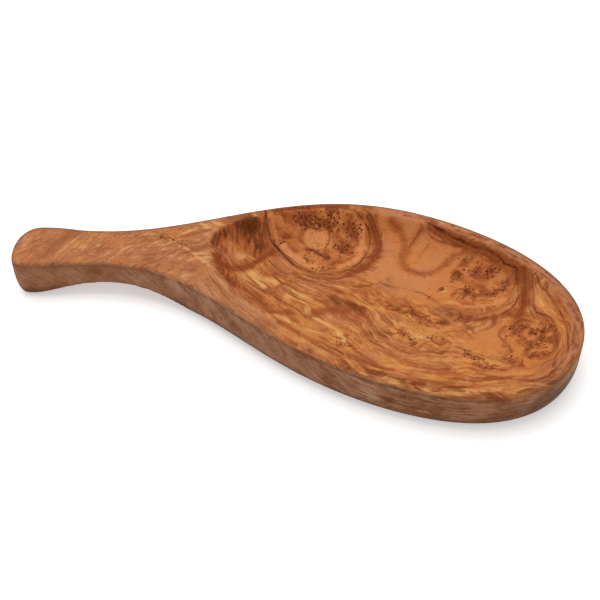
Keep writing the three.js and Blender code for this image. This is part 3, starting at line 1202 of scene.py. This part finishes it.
    def burl_eyes(self, tree: Tree, place: Socket, colour: Socket) -> Socket:
        """Lays the mottled wood of the burl eyes and the rings round them.

        Args:
            tree: the finish's nodes.
            place: the place on the piece, in millimetres.
            colour: the colour so far.

        Returns:
            The new colour.
        """
        waver = add(tree, Kind.NOISE, {"Vector": place, "Scale": 1 / self.eye_waver, "Detail": 1.0})
        wavy = add(tree, Kind.MATH, {0: waver, 1: 0.2, 2: Field.BURL}, operation="MULTIPLY_ADD")
        mottle = add(
            tree,
            Kind.NOISE,
            {"Vector": place, "Scale": 1 / self.mottle_size, "Detail": 2.0, "Distortion": 1.0},
        )
        inside = add(
            tree,
            Kind.TONES,
            {0: mottle},
            stops=((0.31, Tone.BURL_DARK), (0.42, Tone.BURL), (0.53, Tone.BURL_PALE), (0.7, Tone.HONEY)),
        )
        pale = add(tree, Kind.MATH, {0: mottle, 1: 0.9, 2: Field.GOLD}, operation="MULTIPLY_ADD")
        inside = self.lay(tree, inside, Tone.PEACH, pale, (0.85, 1.3), (0.0, 0.95))
        inside = self.contour(tree, inside, Tone.BROWN, mottle, 0.018, 0.6)
        colour = self.lay(tree, colour, inside, wavy, (0.97, 1.09), (0.92, 0.0))
        turns = add(tree, Kind.MATH, {0: wavy, 1: 19.0}, operation="MULTIPLY")
        rings = add(tree, Kind.NOISE, {"W": turns, "Scale": 1.0, "Detail": 1.0}, noise_dimensions="1D")
        weight = add(tree, Kind.MATH, {0: Field.RINGS, 1: 0.7}, operation="MULTIPLY")
        return self.contour(tree, colour, Tone.UMBER, rings, 0.08, weight)

    def soft_bands(self, tree: Tree, place: Socket, colour: Socket) -> Socket:
        """Lays the soft brown bands, each with finer lines in it.

        Args:
            tree: the finish's nodes.
            place: the place on the piece, in millimetres.
            colour: the colour so far.

        Returns:
            The new colour.
        """
        waver = add(tree, Kind.NOISE, {"Vector": place, "Scale": 1 / self.edge_waver, "Detail": 3.0})
        wavy = add(tree, Kind.MATH, {0: waver, 1: 0.8, 2: Field.BAND}, operation="MULTIPLY_ADD")
        x = add(tree, Kind.SPLIT, {0: place})
        fibre = self.grain(tree, x, self.wavering(tree, place), self.band_fibre, 3)
        wavy = add(tree, Kind.MATH, {0: fibre, 1: 0.5, 2: wavy}, operation="MULTIPLY_ADD")
        colour = self.lay(tree, colour, Tone.BAND, wavy, (0.74, 1.62), (0.0, 0.85))
        colour = self.lay(tree, colour, Tone.UMBER, wavy, (1.5, 2.0), (0.0, 0.7))
        gentle = add(tree, Kind.NOISE, {"Vector": place, "Scale": 1 / self.band_turn, "Detail": 1.0})
        turns = add(tree, Kind.MATH, {0: gentle, 1: 0.3, 2: Field.BAND}, operation="MULTIPLY_ADD")
        turns = add(tree, Kind.MATH, {0: turns, 1: 9.0}, operation="MULTIPLY")
        lines = add(tree, Kind.NOISE, {"W": turns, "Scale": 1.0, "Detail": 1.0}, noise_dimensions="1D")
        weight = add(tree, Kind.RANGE, {0: Field.BAND, 1: 0.5, 2: 0.9, 3: 0.0, 4: 0.75})
        return self.contour(tree, colour, Tone.UMBER, lines, 0.08, weight)

    def strokes(self, tree: Tree, place: Socket, colour: Socket) -> Socket:
        """Lays the paler and the darker strokes, broken up by the grain.

        Args:
            tree: the finish's nodes.
            place: the place on the piece, in millimetres.
            colour: the colour so far.

        Returns:
            The new colour.
        """
        x = add(tree, Kind.SPLIT, {0: place})
        growth = self.wavering(tree, place)
        breakup = self.grain(tree, x, growth, self.stroke_grain, 2)
        breakup = add(tree, Kind.MATH, {0: breakup, 1: 2.0, 2: -1.0}, operation="MULTIPLY_ADD")
        gold = add(tree, Kind.MATH, {0: Field.GOLD, 1: breakup}, operation="ADD")
        colour = self.lay(tree, colour, Tone.STRAW, gold, (0.4, 1.0), (0.0, 0.9))
        shade = add(tree, Kind.MATH, {0: Field.SHADE, 1: breakup}, operation="SUBTRACT")
        return self.lay(tree, colour, Tone.UMBER, shade, (0.2, 1.0), (0.0, 0.92))

    def combed_stain_and_shade(self, tree: Tree, place: Socket, colour: Socket) -> Socket:
        """Lays the dark combed stain where the dish starts, which is also painted shade on the dish's steep
        end.

        Args:
            tree: the finish's nodes.
            place: the place on the piece, in millimetres.
            colour: the colour so far.

        Returns:
            The new colour.
        """
        x = add(tree, Kind.SPLIT, {0: place})
        y = x.node.outputs[1]
        waver = add(tree, Kind.NOISE, {"Vector": place, "Scale": 1 / self.edge_waver, "Detail": 3.0})
        ahead, aside = self.comb_turn
        along = add(tree, Kind.MATH, {0: y, 1: ahead}, operation="MULTIPLY")
        along = add(tree, Kind.MATH, {0: x, 1: -aside, 2: along}, operation="MULTIPLY_ADD")
        across = add(tree, Kind.MATH, {0: x, 1: ahead}, operation="MULTIPLY")
        across = add(tree, Kind.MATH, {0: y, 1: aside, 2: across}, operation="MULTIPLY_ADD")
        across = add(tree, Kind.MATH, {0: waver, 1: 3.0, 2: across}, operation="MULTIPLY_ADD")
        comb = self.grain(tree, along, across, self.comb, 3)
        comb = add(tree, Kind.MATH, {0: Field.SHADE, 1: -0.22, 2: comb}, operation="MULTIPLY_ADD")
        comb = add(tree, Kind.MATH, {0: Field.GOLD, 1: 0.15, 2: comb}, operation="MULTIPLY_ADD")
        stain = add(
            tree,
            Kind.TONES,
            {0: comb},
            stops=((0.22, Tone.INK), (0.4, Tone.UMBER), (0.57, Tone.RUSSET), (0.8, Tone.HONEY)),
        )
        guide = add(tree, Kind.MATH, {0: waver, 1: 0.8, 2: Field.COMB}, operation="MULTIPLY_ADD")
        return self.lay(tree, colour, stain, guide, (0.7, 1.1), (0.0, 0.9))

    def veins(self, tree: Tree, place: Socket, colour: Socket) -> Socket:
        """Draws the dark veins, each with a soft brown side.

        Args:
            tree: the finish's nodes.
            place: the place on the piece, in millimetres.
            colour: the colour so far.

        Returns:
            The new colour.
        """
        waver = add(tree, Kind.NOISE, {"Vector": place, "Scale": 1 / self.edge_waver, "Detail": 2.0})
        off = add(tree, Kind.MATH, {0: waver, 1: 2.0, 2: Field.VEIN}, operation="MULTIPLY_ADD")
        off = add(tree, Kind.MATH, {0: off, 1: -1.0}, operation="ADD")
        off = add(tree, Kind.MATH, {0: off}, operation="ABSOLUTE")
        patch = add(tree, Kind.NOISE, {"Vector": place, "Scale": 1 / self.vein_patch, "Detail": 2.0})
        patch = add(tree, Kind.RANGE, {0: patch, 1: 0.36, 2: 0.6, 3: 0.3, 4: 1.15})
        ink = add(tree, Kind.MATH, {0: Field.INK, 1: patch}, operation="MULTIPLY", use_clamp=True)
        for tone, reach, strength in ((Tone.RUSSET, 2.6, 0.7), (Tone.INK, 1.1, 1.0)):
            line = add(
                tree,
                Kind.RANGE,
                {0: off, 1: 0.2, 2: reach, 3: strength, 4: 0.0},
                interpolation_type="SMOOTHSTEP",
            )
            share = add(tree, Kind.MATH, {0: line, 1: ink}, operation="MULTIPLY")
            colour = add(tree, Kind.MIX, {0: share, 6: colour, 7: tone}, 2, data_type="RGBA")
        return colour

    def pin_knots(self, tree: Tree, place: Socket, colour: Socket) -> Socket:
        """Sets the clusters of pin knots.

        Args:
            tree: the finish's nodes.
            place: the place on the piece, in millimetres.
            colour: the colour so far.

        Returns:
            The new colour.
        """
        blotch = add(
            tree,
            Kind.NOISE,
            {"Vector": place, "Scale": 1 / self.blotch_size, "Detail": 3.0, "Distortion": 0.8},
        )
        stain = add(tree, Kind.MATH, {0: Field.KNOTS, 1: 0.5}, operation="MULTIPLY")
        stain = add(tree, Kind.MATH, {0: blotch, 1: 2.0, 2: stain}, operation="MULTIPLY_ADD")
        colour = self.lay(tree, colour, Tone.BURL_DARK, stain, (1.15, 1.8), (0.0, 0.9))
        weight = add(tree, Kind.RANGE, {0: Field.KNOTS, 1: 0.3, 2: 0.9, 3: 0.0, 4: 0.6})
        colour = self.contour(tree, colour, Tone.INK, blotch, 0.02, weight)
        shift = add(tree, Kind.NOISE, {"Vector": place, "Scale": 0.6, "Detail": 1.0}, "Color")
        spot = add(tree, Kind.VECTOR, {0: shift, 1: (1.6, 1.6, 0), 2: place}, operation="MULTIPLY_ADD")
        reach = add(
            tree,
            Kind.CELLS,
            {"Vector": spot, "Scale": 1 / self.knot_spacing},
            "Distance",
            voronoi_dimensions="2D",
        )
        chance = add(tree, Kind.SPLIT, {0: reach.node.outputs["Color"]})
        crowd = add(tree, Kind.MATH, {0: Field.KNOTS, 1: 0.8}, operation="MULTIPLY")
        shown = add(tree, Kind.MATH, {0: chance, 1: crowd}, operation="LESS_THAN")
        depth = add(tree, Kind.RANGE, {0: chance.node.outputs[2], 1: 0.0, 2: 1.0, 3: 0.6, 4: 1.0})
        shown = add(tree, Kind.MATH, {0: shown, 1: depth}, operation="MULTIPLY")
        size = add(tree, Kind.RANGE, {0: chance.node.outputs[1], 1: 0.0, 2: 1.0, 3: 0.55, 4: 1.6})
        reach = add(tree, Kind.MATH, {0: reach, 1: size}, operation="MULTIPLY")
        dot = add(
            tree, Kind.RANGE, {0: reach, 1: 0.2, 2: 0.5, 3: 1.0, 4: 0.0}, interpolation_type="SMOOTHSTEP"
        )
        dot = add(tree, Kind.MATH, {0: dot, 1: shown}, operation="MULTIPLY")
        return add(tree, Kind.MIX, {0: dot, 6: colour, 7: Tone.KNOT}, 2, data_type="RGBA")

    def quiet_deck(self, tree: Tree, place: Socket, colour: Socket) -> Socket:
        """Lays the quieter, curly wood of the handle and the deck.

        Args:
            tree: the finish's nodes.
            place: the place on the piece, in millimetres.
            colour: the colour so far.

        Returns:
            The new colour.
        """
        waver = add(tree, Kind.NOISE, {"Vector": place, "Scale": 1 / self.broad_waver, "Detail": 3.0})
        across = add(tree, Kind.MATH, {0: waver, 1: 7.0, 2: Field.CURL_ACROSS}, operation="MULTIPLY_ADD")
        curl = self.grain(tree, Field.CURL_ALONG, across, self.deck_curl, 2)
        broad = self.grain(tree, Field.CURL_ALONG, across, self.deck_broad, 2)
        curl = add(tree, Kind.MATH, {0: broad, 1: 1.0, 2: curl}, operation="MULTIPLY_ADD")
        quiet = add(tree, Kind.TONES, {0: curl}, stops=((0.78, Tone.DECK_DARK), (0.98, Tone.DECK)))
        quiet = self.lay(tree, quiet, Tone.DECK_PALE, curl, (1.02, 1.28), (0.0, 0.65))
        cloud = add(tree, Kind.NOISE, {"Vector": place, "Scale": 1 / self.cloud_size, "Detail": 2.0})
        quiet = self.lay(tree, quiet, Tone.HONEY, cloud, (0.5, 0.68), (0.0, 0.55))
        fine = self.grain(tree, Field.CURL_ALONG, across, self.deck_fleck, 2)
        quiet = self.lay(tree, quiet, Tone.DECK_DARK, fine, (0.5, 0.7), (0.0, 0.6))
        quiet = self.lay(tree, quiet, Tone.UMBER, fine, (0.64, 0.74), (0.0, 0.75))
        gold = add(tree, Kind.MATH, {0: curl, 1: 3.0, 2: Field.GOLD}, operation="MULTIPLY_ADD")
        quiet = self.lay(tree, quiet, Tone.STRAW, gold, (3.3, 4.1), (0.0, 0.6))
        quiet = self.lay(tree, quiet, Tone.DECK_DARK, Field.SHADE, (0.1, 0.6), (0.0, 0.7))
        hem = add(tree, Kind.MATH, {0: waver, 1: 6.0, 2: Field.HEM}, operation="MULTIPLY_ADD")
        layer = self.grain(tree, Field.AROUND, hem, self.deck_layer, 3)
        even = add(
            tree,
            Kind.TONES,
            {0: layer},
            stops=((0.36, Tone.DECK_DARK), (0.48, Tone.DECK), (0.66, Tone.DECK_PALE)),
        )
        thin = self.grain(tree, Field.AROUND, hem, self.deck_line, 2)
        even = self.contour(tree, even, Tone.UMBER, thin, 0.04, 0.6)
        quiet = self.lay(tree, quiet, even, Field.PLAIN, (0.1, 0.9), (0.0, 0.95))
        deck = add(tree, Kind.MATH, {0: waver, 1: 0.8, 2: Field.DECK}, operation="MULTIPLY_ADD")
        return self.lay(tree, colour, quiet, deck, (0.6, 1.2), (0.0, 0.92))

    def worn_rim(self, tree: Tree, place: Socket, colour: Socket) -> Socket:
        """Breaks the rim into pale worn wood and dark patches of end grain, and lays painted shade on the far
        edge.

        Args:
            tree: the finish's nodes.
            place: the place on the piece, in millimetres.
            colour: the colour so far.

        Returns:
            The new colour.
        """
        y = add(tree, Kind.SPLIT, {0: place}, 1)
        worn = add(tree, Kind.RANGE, {0: y, 1: -50.0, 2: 0.0, 3: 0.4, 4: 1.0})
        worn = add(tree, Kind.MATH, {0: Field.RIM, 1: worn}, operation="MULTIPLY")
        colour = self.lay(tree, colour, Tone.RIM, worn, (0.2, 1.0), (0.0, 0.72))
        patch = self.grain(tree, Field.AROUND, Field.HEM, self.rim_patch, 3)
        pale = add(tree, Kind.MATH, {0: Field.GOLD, 1: 0.25, 2: patch}, operation="MULTIPLY_ADD")
        pale = add(tree, Kind.MATH, {0: Field.RIM, 1: 0.5, 2: pale}, operation="MULTIPLY_ADD")
        colour = self.lay(tree, colour, Tone.STRAW, pale, (1.06, 1.22), (0.0, 0.6))
        dark = add(tree, Kind.MATH, {0: Field.RIM, 1: 0.5}, operation="MULTIPLY")
        dark = add(tree, Kind.MATH, {0: dark, 1: patch}, operation="SUBTRACT")
        dark = add(tree, Kind.MATH, {0: Field.SHADE, 1: 0.12, 2: dark}, operation="MULTIPLY_ADD")
        colour = self.lay(tree, colour, Tone.UMBER, dark, (0.0, 0.13), (0.0, 0.65))
        # Painted shade on the far top edge.
        return self.lay(tree, colour, Tone.FAR_EDGE_SHADE, Field.FAR_EDGE_SHADE, (0.5, 0.95), (0.0, 0.75))

    def sawn_wall(self, tree: Tree, place: Socket, colour: Socket) -> Socket:
        """Lays the duller, streaky wood of the sawn side wall, with painted shade low down, on the rounding
        under it, along its top edge and on the tip's end wall.

        Args:
            tree: the finish's nodes.
            place: the place on the piece, in millimetres.
            colour: the colour so far.

        Returns:
            The new colour.
        """
        x = add(tree, Kind.SPLIT, {0: place})
        waver = add(tree, Kind.NOISE, {"Vector": place, "Scale": 1 / self.broad_waver, "Detail": 3.0})
        layers = add(tree, Kind.MATH, {0: waver, 1: 6.0, 2: Field.LAYERS}, operation="MULTIPLY_ADD")
        streak = self.grain(tree, x, layers, self.wall_streak, 3)
        streak = add(tree, Kind.MATH, {0: streak, 1: 0.6}, operation="MULTIPLY")
        cloud = add(
            tree,
            Kind.NOISE,
            {"Vector": place, "Scale": 1 / self.cloud_size, "Detail": 4.0, "Roughness": 0.62},
        )
        streak = add(tree, Kind.MATH, {0: cloud, 1: 1.4, 2: streak}, operation="MULTIPLY_ADD")
        dull = add(
            tree,
            Kind.TONES,
            {0: streak},
            stops=((0.8, Tone.WALL_DARK), (1.0, Tone.WALL)),
        )
        dull = self.lay(tree, dull, Tone.WALL_PALE, streak, (1.0, 1.25), (0.0, 0.6))
        fine = self.grain(tree, x, layers, self.wall_fibre, 2)
        dull = self.lay(tree, dull, Tone.WALL_DARK, fine, (0.45, 0.68), (0.0, 0.6))
        dull = self.lay(tree, dull, Tone.WALL_PALE, fine, (0.32, 0.46), (0.4, 0.0))
        line = self.grain(tree, x, layers, self.wall_line, 1)
        near = add(tree, Kind.RANGE, {0: x, 1: -40.0, 2: 30.0, 3: 0.35, 4: 0.9})
        dull = self.contour(tree, dull, Tone.WALL_LINE_AND_SHADE, line, 0.04, near)
        dull = self.lay(tree, dull, Tone.DECK_DARK, x, (-170, -110), (0.35, 0.0))
        # Painted shade low on the wall and on the rounding under it.
        dull = self.lay(tree, dull, Tone.WALL_LINE_AND_SHADE, Field.LOW, (0.0, 1.0), (0.0, 0.8))
        # Painted shade on the tip's end wall, broken up by the streaks.
        end = add(tree, Kind.MATH, {0: streak, 1: -0.4, 2: Field.END_SHADE}, operation="MULTIPLY_ADD")
        dull = self.lay(tree, dull, Tone.WALL_END_SHADE, end, (-0.3, 0.5), (0.0, 0.68))
        colour = self.lay(tree, colour, dull, Field.WALL, (0.1, 0.9), (0.0, 0.9))
        # Painted shade along the top edge.
        edge = add(tree, Kind.MATH, {0: waver, 1: 0.8, 2: Field.EDGE}, operation="MULTIPLY_ADD")
        return self.lay(tree, colour, Tone.WALL_LINE_AND_SHADE, edge, (0.6, 1.5), (0.0, 0.7))

    def pores(self, tree: Tree, place: Socket, colour: Socket) -> Socket:
        """Adds the fine open pores and the pale fibres between them.

        Args:
            tree: the finish's nodes.
            place: the place on the piece, in millimetres.
            colour: the colour so far.

        Returns:
            The new colour.
        """
        spot = add(tree, Kind.VECTOR, {0: place, 1: self.pore_shape}, operation="DIVIDE")
        pore = add(tree, Kind.NOISE, {"Vector": spot, "Scale": 1.0, "Detail": 2.0, "Roughness": 0.7})
        colour = self.lay(tree, colour, Tone.UMBER, pore, (0.52, 0.72), (0.0, 0.24))
        return self.lay(tree, colour, Tone.STRAW, pore, (0.28, 0.46), (0.16, 0.0))


@dataclass(frozen=True)
class Sanding:
    """The hand sanding of the carved surface: how far edges soften, and the faint waves that it leaves."""

    passes: int = 4
    wave_height: float = 0.12
    wave_size: float = 26
    level_height: float = 3
    seed: float = 7

    def build(self) -> Tree:
        """Builds the tree that softens a carved surface and leaves faint waves above the flat base.

        Returns:
            The tree, with named inputs.
        """
        tree = bpy.data.node_groups.new("hand_sanding", "GeometryNodeTree")
        face = tree.interface
        face.new_socket("Surface", in_out="INPUT", socket_type="NodeSocketGeometry")
        face.new_socket("Passes", in_out="INPUT", socket_type="NodeSocketInt")
        face.new_socket("Wave Height", in_out="INPUT", socket_type="NodeSocketFloat")
        face.new_socket("Wave Size", in_out="INPUT", socket_type="NodeSocketFloat")
        face.new_socket("Level Height", in_out="INPUT", socket_type="NodeSocketFloat")
        face.new_socket("Seed", in_out="INPUT", socket_type="NodeSocketFloat")
        face.new_socket("Finish", in_out="INPUT", socket_type="NodeSocketMaterial")
        face.new_socket("Surface", in_out="OUTPUT", socket_type="NodeSocketGeometry")
        given = add(tree, Kind.GROUP_INPUT).node.outputs
        position = add(tree, Kind.POSITION)
        soft = add(
            tree, Kind.BLUR, {"Value": position, "Iterations": given["Passes"]}, data_type="FLOAT_VECTOR"
        )
        surface = add(tree, Kind.MOVE, {"Geometry": given["Surface"], "Position": soft})
        scale = add(tree, Kind.MATH, {0: 1.0, 1: given["Wave Size"]}, operation="DIVIDE")
        wave = add(
            tree,
            Kind.NOISE,
            {"Vector": position, "W": given["Seed"], "Scale": scale, "Detail": 1.0},
            noise_dimensions="4D",
        )
        wave = add(tree, Kind.MATH, {0: wave, 1: -0.5}, operation="ADD")
        wave = add(tree, Kind.MATH, {0: wave, 1: given["Wave Height"]}, operation="MULTIPLY")
        height = add(tree, Kind.SPLIT, {0: position}, "Z")
        level = {0: height, 1: given["Level Height"]}
        level = add(tree, Kind.MATH, level, operation="DIVIDE", use_clamp=True)
        wave = add(tree, Kind.MATH, {0: wave, 1: level}, operation="MULTIPLY")
        shift = add(tree, Kind.VECTOR, {0: add(tree, Kind.NORMAL), "Scale": wave}, operation="SCALE")
        surface = add(tree, Kind.MOVE, {"Geometry": surface, "Offset": shift})
        surface = add(tree, Kind.SMOOTH, {"Geometry": surface})
        surface = add(tree, Kind.REALIZE, {"Geometry": surface})
        surface = add(tree, Kind.MATERIAL, {"Geometry": surface, "Material": given["Finish"]})
        add(tree, Kind.GROUP_OUTPUT, {"Surface": surface})
        return tree

    def apply_to(self, piece: bpy.types.Object, finish: bpy.types.Material) -> None:
        """Puts the sanding on a piece, as its last modifier.

        Args:
            piece: the carved piece.
            finish: the material that the sanded surface takes.
        """
        sanding = piece.modifiers.new("hand_sanding", "NODES")
        sanding.node_group = self.build()
        values = {
            "Passes": self.passes,
            "Wave Height": 2 * self.wave_height * MM,
            "Wave Size": self.wave_size * MM,
            "Level Height": self.level_height * MM,
            "Seed": self.seed,
            "Finish": finish,
        }
        for item in sanding.node_group.interface.items_tree:
            if item.in_out == "INPUT" and item.name in values:
                sanding[item.identifier] = values[item.name]


@dataclass(frozen=True)
class CarvedBowl:
    """The bowl: a plank sawn to its outline, its dish and finger arch carved out and its surface sanded."""

    plank: PlankOutline = PlankOutline()
    dish: Dish = Dish()
    arch: FingerArch = FingerArch()
    sanding: Sanding = Sanding()
    top_edge_radius: float = 2.5
    handle_under: Pair = (5, 9)
    bowl_under: Pair = (8, 11)
    neck: Pair = (-165, -75)
    handle_end: Pair = (-226, -214)
    end_undercut: Pair = (3, 10)
    round_steps: int = 14
    mesh_size: float = 1.1

    def blank(self, thickness: float) -> bpy.types.Object:
        """Makes the sawn plank with its soft edges.

        Args:
            thickness: the plank's thickness.

        Returns:
            The blank.
        """
        outline = self.plank.points()
        tangent = np.roll(outline, -1, axis=0) - np.roll(outline, 1, axis=0)
        tangent /= np.linalg.norm(tangent, axis=1, keepdims=True)
        inward = np.column_stack([-tangent[:, 1], tangent[:, 0]])
        bowl_share = smoothstep(*self.neck, outline[:, 0])
        inset = self.handle_under[0] + (self.bowl_under[0] - self.handle_under[0]) * bowl_share
        rise = self.handle_under[1] + (self.bowl_under[1] - self.handle_under[1]) * bowl_share
        end_share = 1 - smoothstep(*self.handle_end, outline[:, 0])
        inset = inset + self.end_undercut[0] * end_share
        rise = rise + self.end_undercut[1] * end_share
        turns = np.linspace(0, np.pi / 2, self.round_steps + 1)
        rings = []
        for turn in turns:
            plan = outline + inward * (inset * (1 - np.sin(turn)))[:, None]
            rings.append(np.column_stack([plan, rise * (1 - np.cos(turn))]))
        for turn in turns:
            plan = outline + inward * self.top_edge_radius * (1 - np.cos(turn))
            height = thickness - self.top_edge_radius * (1 - np.sin(turn))
            rings.append(np.column_stack([plan, np.full(len(plan), height)]))
        return loft("carved_bowl_wood", rings)

    def build(self) -> bpy.types.Object:
        """Carves, sands and dresses the bowl, and ties it to the frame.

        Returns:
            The bowl's object, with a plain mesh.
        """
        low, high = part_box(NODE)
        thickness = (high.z - low.z) / MM
        bowl = self.blank(thickness)
        wastes = [self.dish.waste(self.plank, thickness), self.arch.waste(self.plank)]
        for waste in wastes:
            cut = bowl.modifiers.new(waste.name, "BOOLEAN")
            cut.operation = "DIFFERENCE"
            cut.solver = "EXACT"
            cut.object = waste
        even = bowl.modifiers.new("even_mesh", "REMESH")
        even.mode = "VOXEL"
        even.voxel_size = self.mesh_size * MM
        self.sanding.apply_to(bowl, OiledOliveWood().build())
        finished = bpy.data.meshes.new_from_object(bowl.evaluated_get(bpy.context.evaluated_depsgraph_get()))
        bowl.modifiers.clear()
        rough, bowl.data = bowl.data, finished
        bpy.data.meshes.remove(rough)
        for waste in wastes:
            bpy.data.objects.remove(waste)
        Figure().paint(finished, self.dish.lip(self.plank), self.plank.points())
        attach(bowl, "root")
        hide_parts(NODE)
        return bowl


@dataclass(frozen=True)
class MattPaper:
    """Matt white paper under the bowl: it takes the soft shadow and is plain white elsewhere."""

    name: str = "matt_white_paper"
    fill: float = 0.45
    fade: Pair = (500, 1100)

    def build(self) -> bpy.types.Material:
        """Builds the finish.

        Returns:
            The material.
        """
        material = bpy.data.materials.new(self.name)
        material.use_nodes = True
        tree = material.node_tree
        tree.nodes.clear()
        paper = add(tree, Kind.MATT, {"Color": Tone.PAPER})
        path = add(tree, Kind.PATH).node.outputs
        seen = add(tree, Kind.MATH, {0: path["Is Camera Ray"], 1: path["Is Glossy Ray"]}, operation="MAXIMUM")
        seen = add(tree, Kind.MATH, {0: seen, 1: path["Is Transmission Ray"]}, operation="MAXIMUM")
        strength = add(tree, Kind.MATH, {0: seen, 1: self.fill}, operation="MULTIPLY")
        glow = add(tree, Kind.GLOW, {"Color": Tone.WHITE, "Strength": strength})
        near = add(tree, Kind.BOTH, {0: paper, 1: glow})
        place = add(tree, Kind.PLACE, out="Object")
        reach = add(tree, Kind.VECTOR, {0: place}, "Value", operation="LENGTH")
        share = add(tree, Kind.RANGE, {0: reach, 1: self.fade[0] * MM, 2: self.fade[1] * MM, 3: 0.0, 4: 1.0})
        share = add(tree, Kind.MATH, {0: share, 1: seen}, operation="MULTIPLY")
        plain = add(tree, Kind.GLOW, {"Color": Tone.WHITE, "Strength": 1.0})
        add(tree, Kind.OUTPUT, {"Surface": add(tree, Kind.FADE, {0: share, 1: near, 2: plain})})
        return material


@dataclass(frozen=True)
class Studio:
    """The camera at the photograph's angle, the pale floor and the soft light."""

    azimuth: float = 24
    elevation: float = 44
    distance: float = 650
    aim: tuple[float, float, float] = (-39.8, -33.4, 28)
    lens: float = 64.64
    sensor: float = 36
    floor_size: float = 6000
    surround: float = 0.4
    lamp_place: tuple[float, float, float] = (-350, 240, 1300)
    lamp_size: float = 1500
    lamp_power: float = 14

    def build_camera(self) -> None:
        """Sets the camera."""
        turn, rise = np.radians(self.azimuth), np.radians(self.elevation)
        back = Vector((np.sin(turn) * np.cos(rise), -np.cos(turn) * np.cos(rise), np.sin(rise)))
        data = bpy.data.cameras.new("camera")
        data.lens = self.lens
        data.sensor_width = self.sensor
        data.sensor_fit = "HORIZONTAL"
        camera = bpy.data.objects.new("camera", data)
        camera.location = (Vector(self.aim) + back * self.distance) * MM
        camera.rotation_euler = back.to_track_quat("Z", "Y").to_euler()
        bpy.context.scene.collection.objects.link(camera)
        bpy.context.scene.camera = camera

    def build_floor(self) -> None:
        """Lays the pale floor, which keeps the bowl's shadow."""
        half = self.floor_size * MM / 2
        corners = [(-half, -half, 0), (half, -half, 0), (half, half, 0), (-half, half, 0)]
        mesh = bpy.data.meshes.new("floor")
        mesh.from_pydata(corners, [], [(0, 1, 2, 3)])
        mesh.materials.append(MattPaper().build())
        floor = bpy.data.objects.new("floor", mesh)
        bpy.context.scene.collection.objects.link(floor)

    def build_light(self) -> None:
        """Sets the soft light: a wide lamp high behind the bowl, and an even pale surround."""
        world = bpy.data.worlds.new("studio")
        bpy.context.scene.world = world
        world.use_nodes = True
        tree = world.node_tree
        tree.nodes.clear()
        path = add(tree, Kind.PATH).node.outputs
        rays = {0: path["Is Camera Ray"], 1: path["Is Transmission Ray"]}
        seen = add(tree, Kind.MATH, rays, operation="MAXIMUM")
        seen = add(tree, Kind.MATH, {0: seen, 1: path["Is Glossy Ray"]}, operation="MAXIMUM")
        strength = add(tree, Kind.RANGE, {0: seen, 1: 0.0, 2: 1.0, 3: self.surround, 4: 1.0})
        sky = add(tree, Kind.SKY, {"Color": Tone.WHITE, "Strength": strength})
        add(tree, Kind.SKY_OUTPUT, {"Surface": sky})
        data = bpy.data.lights.new("softbox", "AREA")
        data.shape = "DISK"
        data.size = self.lamp_size * MM
        data.energy = self.lamp_power
        lamp = bpy.data.objects.new("softbox", data)
        lamp.location = Vector(self.lamp_place) * MM
        lamp.rotation_euler = lamp.location.to_track_quat("Z", "Y").to_euler()
        bpy.context.scene.collection.objects.link(lamp)


def main() -> None:
    logging.basicConfig(level=logging.INFO)
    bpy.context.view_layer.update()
    bpy.context.scene.view_settings.view_transform = "Standard"
    studio = Studio()
    studio.build_camera()
    studio.build_floor()
    studio.build_light()
    bowl = CarvedBowl().build()
    log.info("%s: %d faces", bowl.name, len(bowl.data.polygons))


if __name__ == "__main__":
    main()
